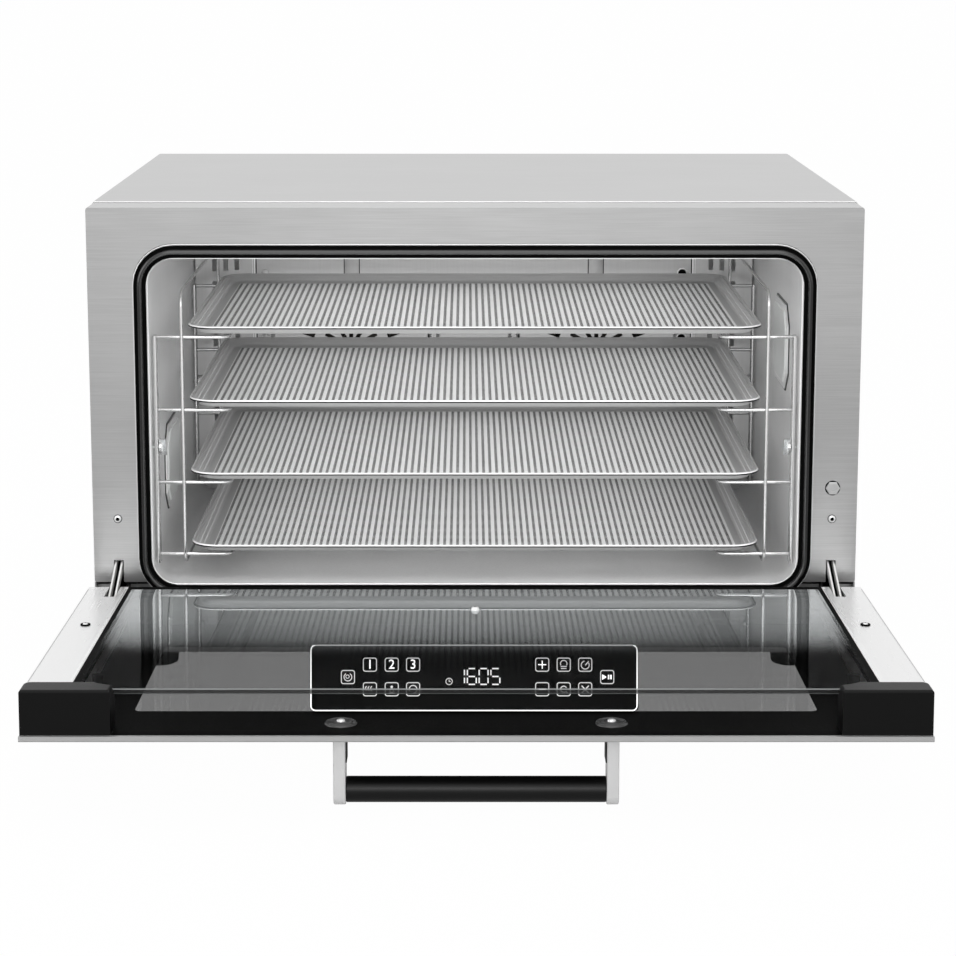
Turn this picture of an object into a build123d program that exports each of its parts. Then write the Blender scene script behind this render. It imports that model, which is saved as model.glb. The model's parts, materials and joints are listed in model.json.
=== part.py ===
from build123d import *
from math import asin, atan2, cos, degrees, radians, sin, sqrt
import os

os.makedirs("parts", exist_ok=True)

# The oven stands on the floor at z = 0, faces -Y and is symmetric about x = 0.
# Its open door and its steam outlet end equally far from y = 0.

# Casing
casing_width = 800
casing_depth = 600
casing_height = 500
casing_sheet = 1.2
casing_corner = 4
casing_setback = 48
foot_height = 28
foot_radius = 20
foot_inset = 60
outlet_reach = 25
sides = (("left", -1), ("right", 1))

# Front frame and lower fascia
frame_sheet = 1.5
frame_bottom = 104
frame_return = 20
flange_clearance = 0.5
slot_side = 373
slot_width = 10
slot_height = 40
slot_top = 127.5
fascia_top = 84
fascia_recess = 14
fascia_recess_top = 98

# Hinge boxes, which stand behind slots in the fascia and the front frame
box_wall = 1.5
box_width = 18
box_back = 125
box_bottom = 84
box_top = 158

# Oven cavity, its flange and its gasket
cavity_half = 338
cavity_floor = 101
cavity_ceiling = 447
cavity_depth = 520
cavity_corner = 26
liner_sheet = 1.2
flange_half = 352
flange_rise = 14
flange_corner = 42
gasket_half = 351
gasket_rise = 12.6
gasket_corner = 41.5
gasket_width = 12.5
gasket_base = 5
gasket_proud = 9.5
gasket_lip = 3.6

# Trays and the wire racks that carry them
tray_count = 4
tray_width = 600
tray_length = 400
tray_depth = 10.7
tray_corner = 28
tray_sheet = 1.2
tray_setback = 12
guide_wire = 2.5
guide_top_level = 359.2
guide_pitch = 77.5
guide_half = 257
frame_wire = 2.25
frame_wire_half = 306
frame_wire_top = 408
frame_wire_bottom = 118
post_half = 334
post_wire = 2.5
post_spread = 4
rack_front = 24
rack_back = 404
wire_bend = 9

# Fans behind the baffle
fan_half = 150
fan_level = 274
fan_radius = 76
fan_blades = 14
shaft_radius = 4
running_clearance = 0.05
baffle_front = 460
baffle_wing_front = 430
baffle_panel_half = 266
baffle_sheet = 1.5

# Door: distances in its own frame are reach from the hinge axis and out from it
door_tilt = 1.8
hinge_out = 37
hinge_level = 80
door_inner = -27
door_outer = 13.6
door_bottom = -6.2
door_top = 400.9
trim_width = 4
pane = 5
rail_width = 41
rail_sheet = 1.5
cap_start = 368
cap_width = 79.5
cap_proud = 5
seal_width = 8
hinge_pin_radius = 4
lug_radius = 8
lug_sheet = 3
lug_slot_height = 28
stay_reach = 29.4
stay_out = -12.1
stay_pin_radius = 3
stay_length = 140
stay_height = 8
stay_sheet = 1.8
stay_gap = 4.4
stay_angle = 22.6
roller_radius = 2.5
roller_half = 5.5

# Handle
handle_span = 250.8
bracket_width = 10.2
bracket_depth = 24
bracket_end = 9
bracket_edge = 3
handle_reach = 360
handle_stand_off = 54.3
grip_radius = 10.75

front_y = -(casing_depth + outlet_reach) / 2 + (
    hinge_out + door_top * cos(radians(door_tilt)) + door_outer * sin(radians(door_tilt))
) / 2
casing_half = casing_width / 2
shell_inner = casing_half - casing_sheet
shell_ceiling = casing_height - casing_sheet
cavity_middle = (cavity_floor + cavity_ceiling) / 2
cavity_height = cavity_ceiling - cavity_floor
guide_levels = [guide_top_level - guide_pitch * step for step in range(tray_count)]


def behind(distance):
    """Y of a point the given distance behind the front face."""
    return front_y + distance


def facing(distance):
    """Plane parallel to the front face, seen from the front: local x is X, local y is Z."""
    return Plane.XZ.offset(-behind(distance))


def door_level(out):
    """Plane parallel to the open door: local x is X, local y is the reach from the hinge."""
    tilt = radians(door_tilt)
    hinge = Plane(
        origin=(0, behind(-hinge_out), hinge_level),
        x_dir=(1, 0, 0),
        z_dir=(0, -sin(tilt), -cos(tilt)),
    )
    return hinge.offset(out)


def door_point(x, reach, out):
    """A point of the open door in the oven's frame."""
    return door_level(out).from_local_coords(Vector(x, reach, 0))


def add_wire(points, radius, bend, closed=False):
    """Bends a round wire through the points and adds it to the part."""
    with BuildLine() as route:
        FilletPolyline(*points, radius=bend, close=closed)
    with BuildSketch(Plane(origin=route.line @ 0, z_dir=route.line % 0)) as section:
        RegularPolygon(radius, 8)
    sweep(sections=section.sketch, path=route.line)


# Casing wrap: one sheet bent over the top and down both sides, with louvres low on the sides
louvre_columns = 9
louvre_rows = 2
louvre_pitch = 12
louvre_row_pitch = 40
louvre_width = 4
louvre_length = 28
louvre_from_back = 130
louvre_level = 74
with BuildPart() as outer_shell:
    with BuildSketch(facing(casing_setback)) as shell_profile:
        with Locations((0, (casing_height + foot_height) / 2)):
            Rectangle(casing_width, casing_height - foot_height)
        fillet(shell_profile.vertices().group_by(Axis.Z)[-1], casing_corner)
        with Locations((0, (shell_ceiling + foot_height) / 2)):
            Rectangle(2 * shell_inner, shell_ceiling - foot_height, mode=Mode.SUBTRACT)
    extrude(amount=casing_setback - casing_depth + casing_sheet)
    with BuildSketch(Plane.YZ.offset(-casing_half)) as louvres:
        with Locations((behind(casing_depth - louvre_from_back), louvre_level)):
            with GridLocations(louvre_pitch, louvre_row_pitch, louvre_columns, louvre_rows):
                Rectangle(louvre_width, louvre_length)
    extrude(amount=casing_width, mode=Mode.SUBTRACT)
outer_shell.part.label = "outer_shell"
export_step(outer_shell.part, "parts/outer_shell.step")

# Front frame: a stamped plate round the gasket flange, folded back along its top and sides
flange_floor = cavity_floor - flange_rise
flange_ceiling = cavity_ceiling + flange_rise
with BuildPart() as front_frame:
    with BuildSketch(facing(0)) as plate_outline:
        with Locations((0, (shell_ceiling + frame_bottom) / 2)):
            Rectangle(2 * shell_inner, shell_ceiling - frame_bottom)
        fillet(plate_outline.vertices().group_by(Axis.Z)[-1], casing_corner - casing_sheet)
        with Locations((0, cavity_middle)):
            RectangleRounded(
                2 * (flange_half + flange_clearance),
                flange_ceiling - flange_floor + 2 * flange_clearance,
                flange_corner + flange_clearance,
                mode=Mode.SUBTRACT,
            )
        slot_middle = slot_top - slot_height / 2
        with Locations((-slot_side, slot_middle), (slot_side, slot_middle)):
            Rectangle(slot_width, slot_height, mode=Mode.SUBTRACT)
    extrude(amount=-frame_sheet)
    with BuildSketch(facing(frame_sheet)) as return_profile:
        with Locations((0, (shell_ceiling + frame_bottom) / 2)):
            Rectangle(2 * shell_inner, shell_ceiling - frame_bottom)
        fillet(return_profile.vertices().group_by(Axis.Z)[-1], casing_corner - casing_sheet)
        with Locations((0, (shell_ceiling - frame_sheet + frame_bottom) / 2)):
            Rectangle(
                2 * (shell_inner - frame_sheet),
                shell_ceiling - frame_sheet - frame_bottom,
                mode=Mode.SUBTRACT,
            )
    extrude(amount=-(casing_setback + frame_return))
front_frame.part.label = "front_frame"
export_step(front_frame.part, "parts/front_frame.step")

# Lower fascia: folded back above the door hinge, then up again behind the front frame
box_slot_clearance = 0.75
box_slot_height = 40
box_slot_middle = 93
with BuildPart() as lower_fascia:
    fascia_back = behind(fascia_recess + casing_sheet)
    fascia_inside = behind(casing_sheet)
    with BuildSketch(Plane.YZ.offset(-shell_inner)) as fascia_profile:
        with BuildLine():
            Polyline(
                (behind(0), foot_height),
                (behind(0), fascia_top),
                (behind(fascia_recess), fascia_top),
                (behind(fascia_recess), fascia_recess_top),
                (fascia_back, fascia_recess_top),
                (fascia_back, fascia_top - casing_sheet),
                (fascia_inside, fascia_top - casing_sheet),
                (fascia_inside, foot_height),
                close=True,
            )
        make_face()
    extrude(amount=2 * shell_inner)
    with BuildSketch(facing(0)) as side_returns:
        for side, sign in sides:
            with Locations((sign * (shell_inner - frame_sheet / 2), (frame_bottom + foot_height) / 2)):
                Rectangle(frame_sheet, frame_bottom - foot_height)
    extrude(amount=-(casing_setback + frame_return))
    with BuildSketch(facing(0)) as lug_slots:
        with Locations((-slot_side, hinge_level), (slot_side, hinge_level)):
            Rectangle(slot_width + 2, lug_slot_height)
    extrude(amount=-fascia_recess / 2, mode=Mode.SUBTRACT)
    with BuildSketch(facing(casing_sheet)) as box_slots:
        with Locations((-slot_side, box_slot_middle), (slot_side, box_slot_middle)):
            Rectangle(box_width + 2 * box_slot_clearance, box_slot_height)
    extrude(amount=-(fascia_recess + casing_sheet), mode=Mode.SUBTRACT)
lower_fascia.part.label = "lower_fascia"
export_step(lower_fascia.part, "parts/lower_fascia.step")

# Base tray, with an upturned edge all round and a row of air slots
base_edge = 14
base_slot_count = 9
base_slot_pitch = 26
base_slot_width = 6
base_slot_length = 120
with BuildPart() as base_plate:
    base_front = behind(2 * casing_sheet)
    base_back = behind(casing_depth - casing_sheet)
    with BuildSketch(Plane.XY.offset(foot_height)):
        with Locations((0, (base_front + base_back) / 2)):
            Rectangle(2 * (shell_inner - frame_sheet), base_back - base_front)
    extrude(amount=base_edge)
    offset(amount=-casing_sheet, openings=base_plate.faces().sort_by(Axis.Z)[-1])
    with BuildSketch(Plane.XY.offset(foot_height)):
        with Locations((0, (base_front + base_back) / 2)):
            with GridLocations(base_slot_pitch, 0, base_slot_count, 1):
                Rectangle(base_slot_width, base_slot_length)
    extrude(amount=2 * casing_sheet, mode=Mode.SUBTRACT)
base_plate.part.label = "base_plate"
export_step(base_plate.part, "parts/base_plate.step")

# Four moulded feet, each a turned cone with a rounded sole
foot_flare = 3
sole_edge = 2
with BuildPart() as feet:
    with BuildSketch(Plane.XZ) as foot_profile:
        with BuildLine():
            Line((0, 0), (foot_radius - sole_edge, 0))
            RadiusArc((foot_radius - sole_edge, 0), (foot_radius, sole_edge), -sole_edge)
            Line((foot_radius, sole_edge), (foot_radius + foot_flare, foot_height))
            Polyline((foot_radius + foot_flare, foot_height), (0, foot_height), (0, 0))
        make_face()
    one_foot = revolve(foot_profile.sketch, axis=Axis.Z, mode=Mode.PRIVATE)
    foot_middle = (behind(foot_inset) + behind(casing_depth - foot_inset)) / 2
    with Locations((0, foot_middle, 0)):
        with GridLocations(casing_width - 2 * foot_inset, casing_depth - 2 * foot_inset, 2, 2):
            add(one_foot)
feet.part.label = "feet"
export_step(feet.part, "parts/feet.step")

# Oven liner: a rounded steel box, open at the front, with the gasket flange round its mouth
lamp_depth_left = 178
lamp_level_left = 197.5
lamp_depth_right = 159
lamp_level_right = 333.5
lamp_long = 104
lamp_tall = 78
lamp_cut = 16
lamp_lap = 4
lamps = ((-1, lamp_depth_left, lamp_level_left), (1, lamp_depth_right, lamp_level_right))


def lamp_outline(depth, level, grow):
    """Adds the eight-sided lamp window outline to a sketch on a side wall."""
    with Locations((behind(depth), level)):
        outline = Rectangle(lamp_long + 2 * grow, lamp_tall + 2 * grow)
    chamfer(outline.vertices(), lamp_cut + grow * (2 - sqrt(2)))


heater_ring = 92
heater_tube = 3.6
heater_gap = 12
heater_tail = 14
heater_top = fan_level + sqrt(heater_ring**2 - heater_gap**2)
probe_x = 60
probe_level = 405
probe_radius = 3
probe_nut_radius = 7.5
hole_clearance = 0.5
outlet_x = -230
outlet_level = 405
outlet_radius = 15
outlet_bore = 12.5
with BuildPart() as oven_liner:
    with BuildSketch(facing(0)):
        with Locations((0, cavity_middle)):
            RectangleRounded(
                2 * (cavity_half + liner_sheet),
                cavity_height + 2 * liner_sheet,
                cavity_corner + liner_sheet,
            )
    extrude(amount=-(cavity_depth + liner_sheet))
    with BuildSketch(facing(0)):
        with Locations((0, cavity_middle)):
            RectangleRounded(2 * flange_half, flange_ceiling - flange_floor, flange_corner)
    extrude(amount=-liner_sheet)
    with BuildSketch(facing(0)):
        with Locations((0, cavity_middle)):
            RectangleRounded(2 * cavity_half, cavity_height, cavity_corner)
    extrude(amount=-cavity_depth, mode=Mode.SUBTRACT)
    for lamp_sign, lamp_depth, lamp_level in lamps:
        wall_plane = Plane.YZ.offset(lamp_sign * cavity_half)
        with BuildSketch(wall_plane) as lamp_hole:
            lamp_outline(lamp_depth, lamp_level, -lamp_lap)
        extrude(amount=3 * liner_sheet, both=True, mode=Mode.SUBTRACT)
    with BuildSketch(facing(cavity_depth)) as back_holes:
        with Locations((-fan_half, fan_level), (fan_half, fan_level)):
            Circle(shaft_radius + 3)
        with Locations((probe_x, probe_level)):
            Circle(probe_radius + hole_clearance)
        with Locations((outlet_x, outlet_level)):
            Circle(outlet_bore + liner_sheet)
        for fan_x in (-fan_half, fan_half):
            with Locations((fan_x - heater_gap, heater_top), (fan_x + heater_gap, heater_top)):
                Circle(heater_tube + hole_clearance)
    extrude(amount=-2 * liner_sheet, mode=Mode.SUBTRACT)
oven_liner.part.label = "oven_liner"
export_step(oven_liner.part, "parts/oven_liner.step")

# Door gasket: a flat base with two raised lips, all the way round the flange
gasket_height = cavity_height + 2 * gasket_rise
with BuildPart() as door_gasket:
    with BuildSketch(facing(0)):
        with Locations((0, cavity_middle)):
            RectangleRounded(2 * gasket_half, gasket_height, gasket_corner)
            RectangleRounded(
                2 * (gasket_half - gasket_width),
                gasket_height - 2 * gasket_width,
                gasket_corner - gasket_width,
                mode=Mode.SUBTRACT,
            )
    extrude(amount=gasket_base)
    for lip_outside in (0, gasket_width - gasket_lip):
        with BuildSketch(facing(-gasket_base)):
            with Locations((0, cavity_middle)):
                RectangleRounded(
                    2 * (gasket_half - lip_outside),
                    gasket_height - 2 * lip_outside,
                    gasket_corner - lip_outside,
                )
                RectangleRounded(
                    2 * (gasket_half - lip_outside - gasket_lip),
                    gasket_height - 2 * (lip_outside + gasket_lip),
                    gasket_corner - lip_outside - gasket_lip,
                    mode=Mode.SUBTRACT,
                )
        extrude(amount=gasket_proud - gasket_base)
    crest = door_gasket.faces().filter_by(Axis.Y).group_by(Axis.Y)[0]
    chamfer(crest.edges(), gasket_lip / 3)
door_gasket.part.label = "door_gasket"
export_step(door_gasket.part, "parts/door_gasket.step")

# Insulation blanket round the liner, open at the front
blanket = 18
blanket_flat = 4
blanket_front = 24
blanket_window = 5
motor_window = 52
with BuildPart() as insulation:
    with BuildSketch(facing(blanket_front)):
        with Locations((0, cavity_middle)):
            Rectangle(
                2 * (cavity_half + liner_sheet + blanket),
                cavity_height + 2 * (liner_sheet + blanket - blanket_flat),
            )
    extrude(amount=-(cavity_depth + liner_sheet + blanket - blanket_front))
    with BuildSketch(facing(blanket_front)):
        with Locations((0, cavity_middle)):
            RectangleRounded(
                2 * (cavity_half + liner_sheet),
                cavity_height + 2 * liner_sheet,
                cavity_corner + liner_sheet,
            )
    extrude(amount=-(cavity_depth + liner_sheet - blanket_front), mode=Mode.SUBTRACT)
    for lamp_sign, lamp_depth, lamp_level in lamps:
        with BuildSketch(Plane.YZ.offset(lamp_sign * (cavity_half + liner_sheet))):
            with Locations((behind(lamp_depth), lamp_level)):
                Rectangle(lamp_long + 2 * blanket_window, lamp_tall + 2 * blanket_window)
        extrude(amount=lamp_sign * (blanket + 1), mode=Mode.SUBTRACT)
    with BuildSketch(facing(cavity_depth)):
        with Locations((-fan_half, fan_level), (fan_half, fan_level)):
            Circle(motor_window)
        with Locations((outlet_x, outlet_level)):
            Circle(outlet_bore + liner_sheet + hole_clearance)
        with Locations((probe_x, probe_level)):
            Circle(probe_nut_radius + 3 * hole_clearance)
        with Locations((-fan_half, heater_top), (fan_half, heater_top)):
            Rectangle(4 * heater_gap, 2 * heater_gap)
    extrude(amount=-(liner_sheet + blanket), mode=Mode.SUBTRACT)
insulation.part.label = "insulation"
export_step(insulation.part, "parts/insulation.step")

# Air baffle: one bent sheet with slotted wings, and a grille in front of each fan
baffle_gap = 2
hub_slots = 12
hub_slot_ring = 24
hub_slot = (24, 5)
rim_slots = 28
rim_slot_ring = 62
rim_slot = (30, 6)
frame_slot = 4.5
side_slot_length = 90
side_slot_offsets = (96, 106)
low_slot_length = 120
low_slot_offsets = (104, 114)
port_side = 254
port_levels = (287, 367)
port_radius = 5
wing_slot = (6, 34)
wing_slot_pitch = (14, 46)
wing_slot_grid = (3, 6)
wing_width = cavity_half - baffle_gap - baffle_panel_half
wing_depth = baffle_front - baffle_wing_front
wing_angle = atan2(wing_depth, wing_width)
with BuildPart() as fan_baffle:
    with BuildSketch(Plane.XY.offset(cavity_floor + baffle_gap)) as bent_sheet:
        with BuildLine() as bend_line:
            Polyline(
                (-cavity_half + baffle_gap, behind(baffle_wing_front)),
                (-baffle_panel_half, behind(baffle_front)),
                (baffle_panel_half, behind(baffle_front)),
                (cavity_half - baffle_gap, behind(baffle_wing_front)),
            )
        trace(line_width=baffle_sheet)
    extrude(amount=cavity_height - 2 * baffle_gap)
    with BuildSketch(facing(baffle_wing_front - baffle_gap)) as cavity_outline:
        with Locations((0, cavity_middle)):
            RectangleRounded(2 * cavity_half - 1, cavity_height - 1, cavity_corner)
    extrude(amount=-2 * wing_depth, mode=Mode.INTERSECT)
    with BuildSketch(facing(baffle_front - baffle_gap)) as grille:
        for fan_x in (-fan_half, fan_half):
            with Locations((fan_x, fan_level)):
                with PolarLocations(hub_slot_ring, hub_slots):
                    Rectangle(*hub_slot)
                with PolarLocations(rim_slot_ring, rim_slots, 180 / rim_slots):
                    Rectangle(*rim_slot)
                for offset_x in side_slot_offsets:
                    with Locations((-offset_x, 0), (offset_x, 0)):
                        Rectangle(frame_slot, side_slot_length)
                for offset_z in low_slot_offsets:
                    with Locations((0, -offset_z)):
                        Rectangle(low_slot_length, frame_slot)
        for port_level in port_levels:
            with Locations((-port_side, port_level), (port_side, port_level)):
                Circle(port_radius)
    extrude(amount=-2 * baffle_gap, mode=Mode.SUBTRACT)
    for side, sign in sides:
        wing_plane = Plane(
            origin=(
                sign * (baffle_panel_half + wing_width / 2),
                behind((baffle_front + baffle_wing_front) / 2),
                cavity_middle,
            ),
            x_dir=(cos(wing_angle), -sign * sin(wing_angle), 0),
            z_dir=(-sign * sin(wing_angle), -cos(wing_angle), 0),
        )
        with BuildSketch(wing_plane):
            with GridLocations(*wing_slot_pitch, *wing_slot_grid):
                Rectangle(*wing_slot)
        extrude(amount=2 * baffle_sheet, both=True, mode=Mode.SUBTRACT)
fan_baffle.part.label = "fan_baffle"
export_step(fan_baffle.part, "parts/fan_baffle.step")

# Wire racks: pairs of wall posts, a bent front frame and one guide wire for each tray
frame_bend = 16
weld_sink = 1
post_overrun_below = 8
post_overrun_above = 2.5
for side, sign in sides:
    with BuildPart() as rack:
        loop_front = behind(rack_front)
        loop_back = behind(rack_back)
        add_wire(
            [
                (sign * frame_wire_half, loop_front, frame_wire_bottom),
                (sign * frame_wire_half, loop_front, frame_wire_top),
                (sign * frame_wire_half, loop_back, frame_wire_top),
                (sign * frame_wire_half, loop_back, frame_wire_bottom),
            ],
            frame_wire,
            frame_bend,
            closed=True,
        )
        guide_front = loop_front + frame_wire + guide_wire - weld_sink
        guide_back = loop_back - frame_wire - guide_wire + weld_sink
        for level in guide_levels:
            add_wire(
                [
                    (sign * post_half, guide_front, level),
                    (sign * guide_half, guide_front, level),
                    (sign * guide_half, guide_back, level),
                    (sign * post_half, guide_back, level),
                ],
                guide_wire,
                wire_bend,
            )
        post_bottom = guide_levels[-1] - post_overrun_below
        for pair_y in (guide_front, guide_back):
            with BuildSketch(Plane.XY.offset(post_bottom)):
                with Locations((sign * post_half, pair_y)):
                    with GridLocations(0, 2 * post_spread, 1, 2):
                        RegularPolygon(post_wire, 8)
            extrude(amount=guide_levels[0] + post_overrun_above - post_bottom)
    rack.part.label = f"{side}_rack"
    export_step(rack.part, f"parts/{side}_rack.step")

# Wing screws that hold the racks to the side walls: a head, two wings and a stem each
thumb_radius = 6.5
thumb_height = 2.8
thumb_clearance = 0.1
thumb_level = 243
thumb_wing = (2.2, 20)
thumb_wing_lean = 25
thumb_wing_height = 7
stem_radius = 1.4
with BuildPart() as rack_screws:
    stem_start = post_half - post_wire - thumb_clearance
    for side, sign in sides:
        for screw_y in (guide_front, guide_back):
            with BuildSketch(Plane.YZ.offset(sign * (stem_start - thumb_height))):
                with Locations((screw_y, thumb_level)):
                    RegularPolygon(thumb_radius, 10)
            extrude(amount=sign * thumb_height)
            with BuildSketch(Plane.YZ.offset(sign * (stem_start - thumb_wing_height))):
                with Locations((screw_y, thumb_level)):
                    Rectangle(*thumb_wing, rotation=thumb_wing_lean)
            extrude(amount=sign * thumb_wing_height)
            with BuildSketch(Plane.YZ.offset(sign * stem_start)):
                with Locations((screw_y, thumb_level)):
                    RegularPolygon(stem_radius, 8)
            extrude(amount=sign * (cavity_half - stem_start))
rack_screws.part.label = "rack_screws"
export_step(rack_screws.part, "parts/rack_screws.step")

# Lamps: a framed glass in each side wall, a housing behind it and a capsule bulb
lamp_frame = 9
lamp_frame_proud = 2.5
lamp_glass_proud = 4
glass_edge = 1.2
with BuildPart() as lamp_seals:
    for lamp_sign, lamp_depth, lamp_level in lamps:
        with BuildSketch(Plane.YZ.offset(lamp_sign * cavity_half)):
            lamp_outline(lamp_depth, lamp_level, lamp_frame)
        extrude(amount=-lamp_sign * lamp_frame_proud)
        with BuildSketch(Plane.YZ.offset(lamp_sign * cavity_half)):
            lamp_outline(lamp_depth, lamp_level, 0)
        extrude(amount=-lamp_sign * lamp_frame_proud, mode=Mode.SUBTRACT)
lamp_seals.part.label = "lamp_seals"
export_step(lamp_seals.part, "parts/lamp_seals.step")

with BuildPart() as lamp_glasses:
    for lamp_sign, lamp_depth, lamp_level in lamps:
        with BuildSketch(Plane.YZ.offset(lamp_sign * cavity_half)):
            lamp_outline(lamp_depth, lamp_level, 0)
        extrude(amount=-lamp_sign * lamp_glass_proud)
    glass_rim = lamp_glasses.faces().filter_by(Axis.X)
    inner_rims = [face for face in glass_rim if abs(face.center().X) < cavity_half - 1]
    chamfer([edge for face in inner_rims for edge in face.edges()], glass_edge)
lamp_glasses.part.label = "lamp_glasses"
export_step(lamp_glasses.part, "parts/lamp_glasses.step")

housing_depth = 46
with BuildPart() as lamp_housings:
    for lamp_sign, lamp_depth, lamp_level in lamps:
        housing_start = lamp_sign * (cavity_half + liner_sheet)
        with BuildSketch(Plane.YZ.offset(housing_start)):
            lamp_outline(lamp_depth, lamp_level, 0)
        extrude(amount=lamp_sign * housing_depth)
        with BuildSketch(Plane.YZ.offset(housing_start)):
            lamp_outline(lamp_depth, lamp_level, -lamp_lap)
        extrude(amount=lamp_sign * (housing_depth - casing_sheet), mode=Mode.SUBTRACT)
lamp_housings.part.label = "lamp_housings"
export_step(lamp_housings.part, "parts/lamp_housings.step")

socket_radius = 11
socket_length = 14
capsule_radius = 6.5
capsule_length = 24
with BuildPart() as lamp_bulbs:
    for lamp_sign, lamp_depth, lamp_level in lamps:
        socket_end = lamp_sign * (cavity_half + liner_sheet + housing_depth - casing_sheet)
        with BuildSketch(Plane.YZ.offset(socket_end)):
            with Locations((behind(lamp_depth), lamp_level)):
                Circle(socket_radius)
        extrude(amount=-lamp_sign * socket_length)
        with BuildSketch(Plane.YZ.offset(socket_end - lamp_sign * socket_length)):
            with Locations((behind(lamp_depth), lamp_level)):
                Circle(capsule_radius)
        extrude(amount=-lamp_sign * capsule_length)
lamp_bulbs.part.label = "lamp_bulbs"
export_step(lamp_bulbs.part, "parts/lamp_bulbs.step")

# Fan wheels: back disc, hub, curved blades and a front ring, on a shaft into the motor
wheel_front = baffle_front + 9
wheel_depth = 34
wheel_disc = 1.5
wheel_ring = 10
hub_radius = 14
hub_length = 18
blade_ring = fan_radius - 17
blade_chord = 34
blade_bow = 4
blade_sheet = 1.6
blade_pitch = 38
shaft_proud = 10
shaft_depth = 40
flange_disc = 2.5
flange_disc_radius = 50
bearing_radius = 20
bearing_length = 20
stator_width = 84
stator_corner = 14
stator_length = 26
rear_cap_radius = 30
rear_cap_length = 18
motor_front = cavity_depth + liner_sheet
blade_line = ThreePointArc((-blade_chord / 2, 0), (0, blade_bow), (blade_chord / 2, 0))
for side, sign in sides:
    fan_x = sign * fan_half
    wheel_back = wheel_front + wheel_depth
    with BuildPart() as fan_wheel:
        with BuildSketch(facing(wheel_back)) as disc_outline:
            with Locations((fan_x, fan_level)):
                Circle(fan_radius)
        extrude(amount=wheel_disc)
        with BuildSketch(facing(wheel_back)) as hub_outline:
            with Locations((fan_x, fan_level)):
                Circle(hub_radius)
        extrude(amount=hub_length)
        with BuildSketch(facing(wheel_back - wheel_disc)) as blade_section:
            with Locations((fan_x, fan_level)):
                with PolarLocations(blade_ring, fan_blades):
                    with Locations(Location((0, 0), -sign * blade_pitch)):
                        SlotArc(blade_line, blade_sheet)
        extrude(amount=wheel_depth - wheel_disc)
        with BuildSketch(facing(wheel_front + wheel_disc)) as ring_outline:
            with Locations((fan_x, fan_level)):
                Circle(fan_radius)
                Circle(fan_radius - wheel_ring, mode=Mode.SUBTRACT)
        extrude(amount=wheel_disc)
        with BuildSketch(facing(motor_front + shaft_depth)) as shaft_outline:
            with Locations((fan_x, fan_level)):
                Circle(shaft_radius)
        extrude(amount=motor_front + shaft_depth - wheel_front - shaft_proud)
    fan_wheel.part.label = f"{side}_fan_wheel"
    export_step(fan_wheel.part, f"parts/{side}_fan_wheel.step")

    # Motor behind the liner: mounting disc, bearing, laminated body and rear cap, bored for the shaft
    stator_front = motor_front + flange_disc + bearing_length - 1
    with BuildPart() as fan_motor:
        with BuildSketch(facing(motor_front)) as flange_outline:
            with Locations((fan_x, fan_level)):
                Circle(flange_disc_radius)
        extrude(amount=-flange_disc)
        with BuildSketch(facing(motor_front + flange_disc)) as bearing_outline:
            with Locations((fan_x, fan_level)):
                Circle(bearing_radius)
        extrude(amount=-bearing_length)
        with BuildSketch(facing(stator_front)) as stator_outline:
            with Locations((fan_x, fan_level)):
                RectangleRounded(stator_width, stator_width, stator_corner)
        extrude(amount=-stator_length)
        with BuildSketch(facing(stator_front + stator_length)) as cap_outline:
            with Locations((fan_x, fan_level)):
                Circle(rear_cap_radius)
        extrude(amount=-rear_cap_length)
        with BuildSketch(facing(motor_front)) as shaft_bore:
            with Locations((fan_x, fan_level)):
                Circle(shaft_radius + running_clearance)
        extrude(amount=-(shaft_depth + shaft_proud), mode=Mode.SUBTRACT)
    fan_motor.part.label = f"{side}_fan_motor"
    export_step(fan_motor.part, f"parts/{side}_fan_motor.step")

    # Ring heater round the wheel, with its two cold ends through the back wall
    heater_y = behind(wheel_front + wheel_depth / 2)
    with BuildPart() as ring_heater:
        gap_angle = degrees(asin(heater_gap / heater_ring))
        with BuildLine() as ring_path:
            CenterArc((0, 0, 0), heater_ring, 90 + gap_angle, 360 - 2 * gap_angle)
        ring_plane = Plane(origin=(fan_x, heater_y, fan_level), x_dir=(1, 0, 0), z_dir=(0, -1, 0))
        placed_ring = ring_plane.from_local_coords(ring_path.line)
        with BuildSketch(Plane(origin=placed_ring @ 0, z_dir=placed_ring % 0)) as tube_section:
            RegularPolygon(heater_tube, 8)
        sweep(sections=tube_section.sketch, path=placed_ring)
        for end in (0, 1):
            tube_end = placed_ring @ end
            with BuildSketch(Plane.XZ.offset(-tube_end.Y + heater_tube)):
                with Locations((tube_end.X, tube_end.Z)):
                    RegularPolygon(heater_tube, 8)
            extrude(amount=-(behind(motor_front + heater_tail) - tube_end.Y + heater_tube))
    ring_heater.part.label = f"{side}_ring_heater"
    export_step(ring_heater.part, f"parts/{side}_ring_heater.step")

# Oven temperature probe through the back wall
probe_reach = 34
probe_length = 60
probe_nut = 6
with BuildPart() as temperature_probe:
    with BuildSketch(facing(cavity_depth - probe_reach)):
        with Locations((probe_x, probe_level)):
            Circle(probe_radius)
    extrude(amount=-probe_length)
    with BuildSketch(facing(motor_front)):
        with Locations((probe_x, probe_level)):
            RegularPolygon(probe_nut_radius, 6)
    extrude(amount=-probe_nut)
temperature_probe.part.label = "temperature_probe"
export_step(temperature_probe.part, "parts/temperature_probe.step")

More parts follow.
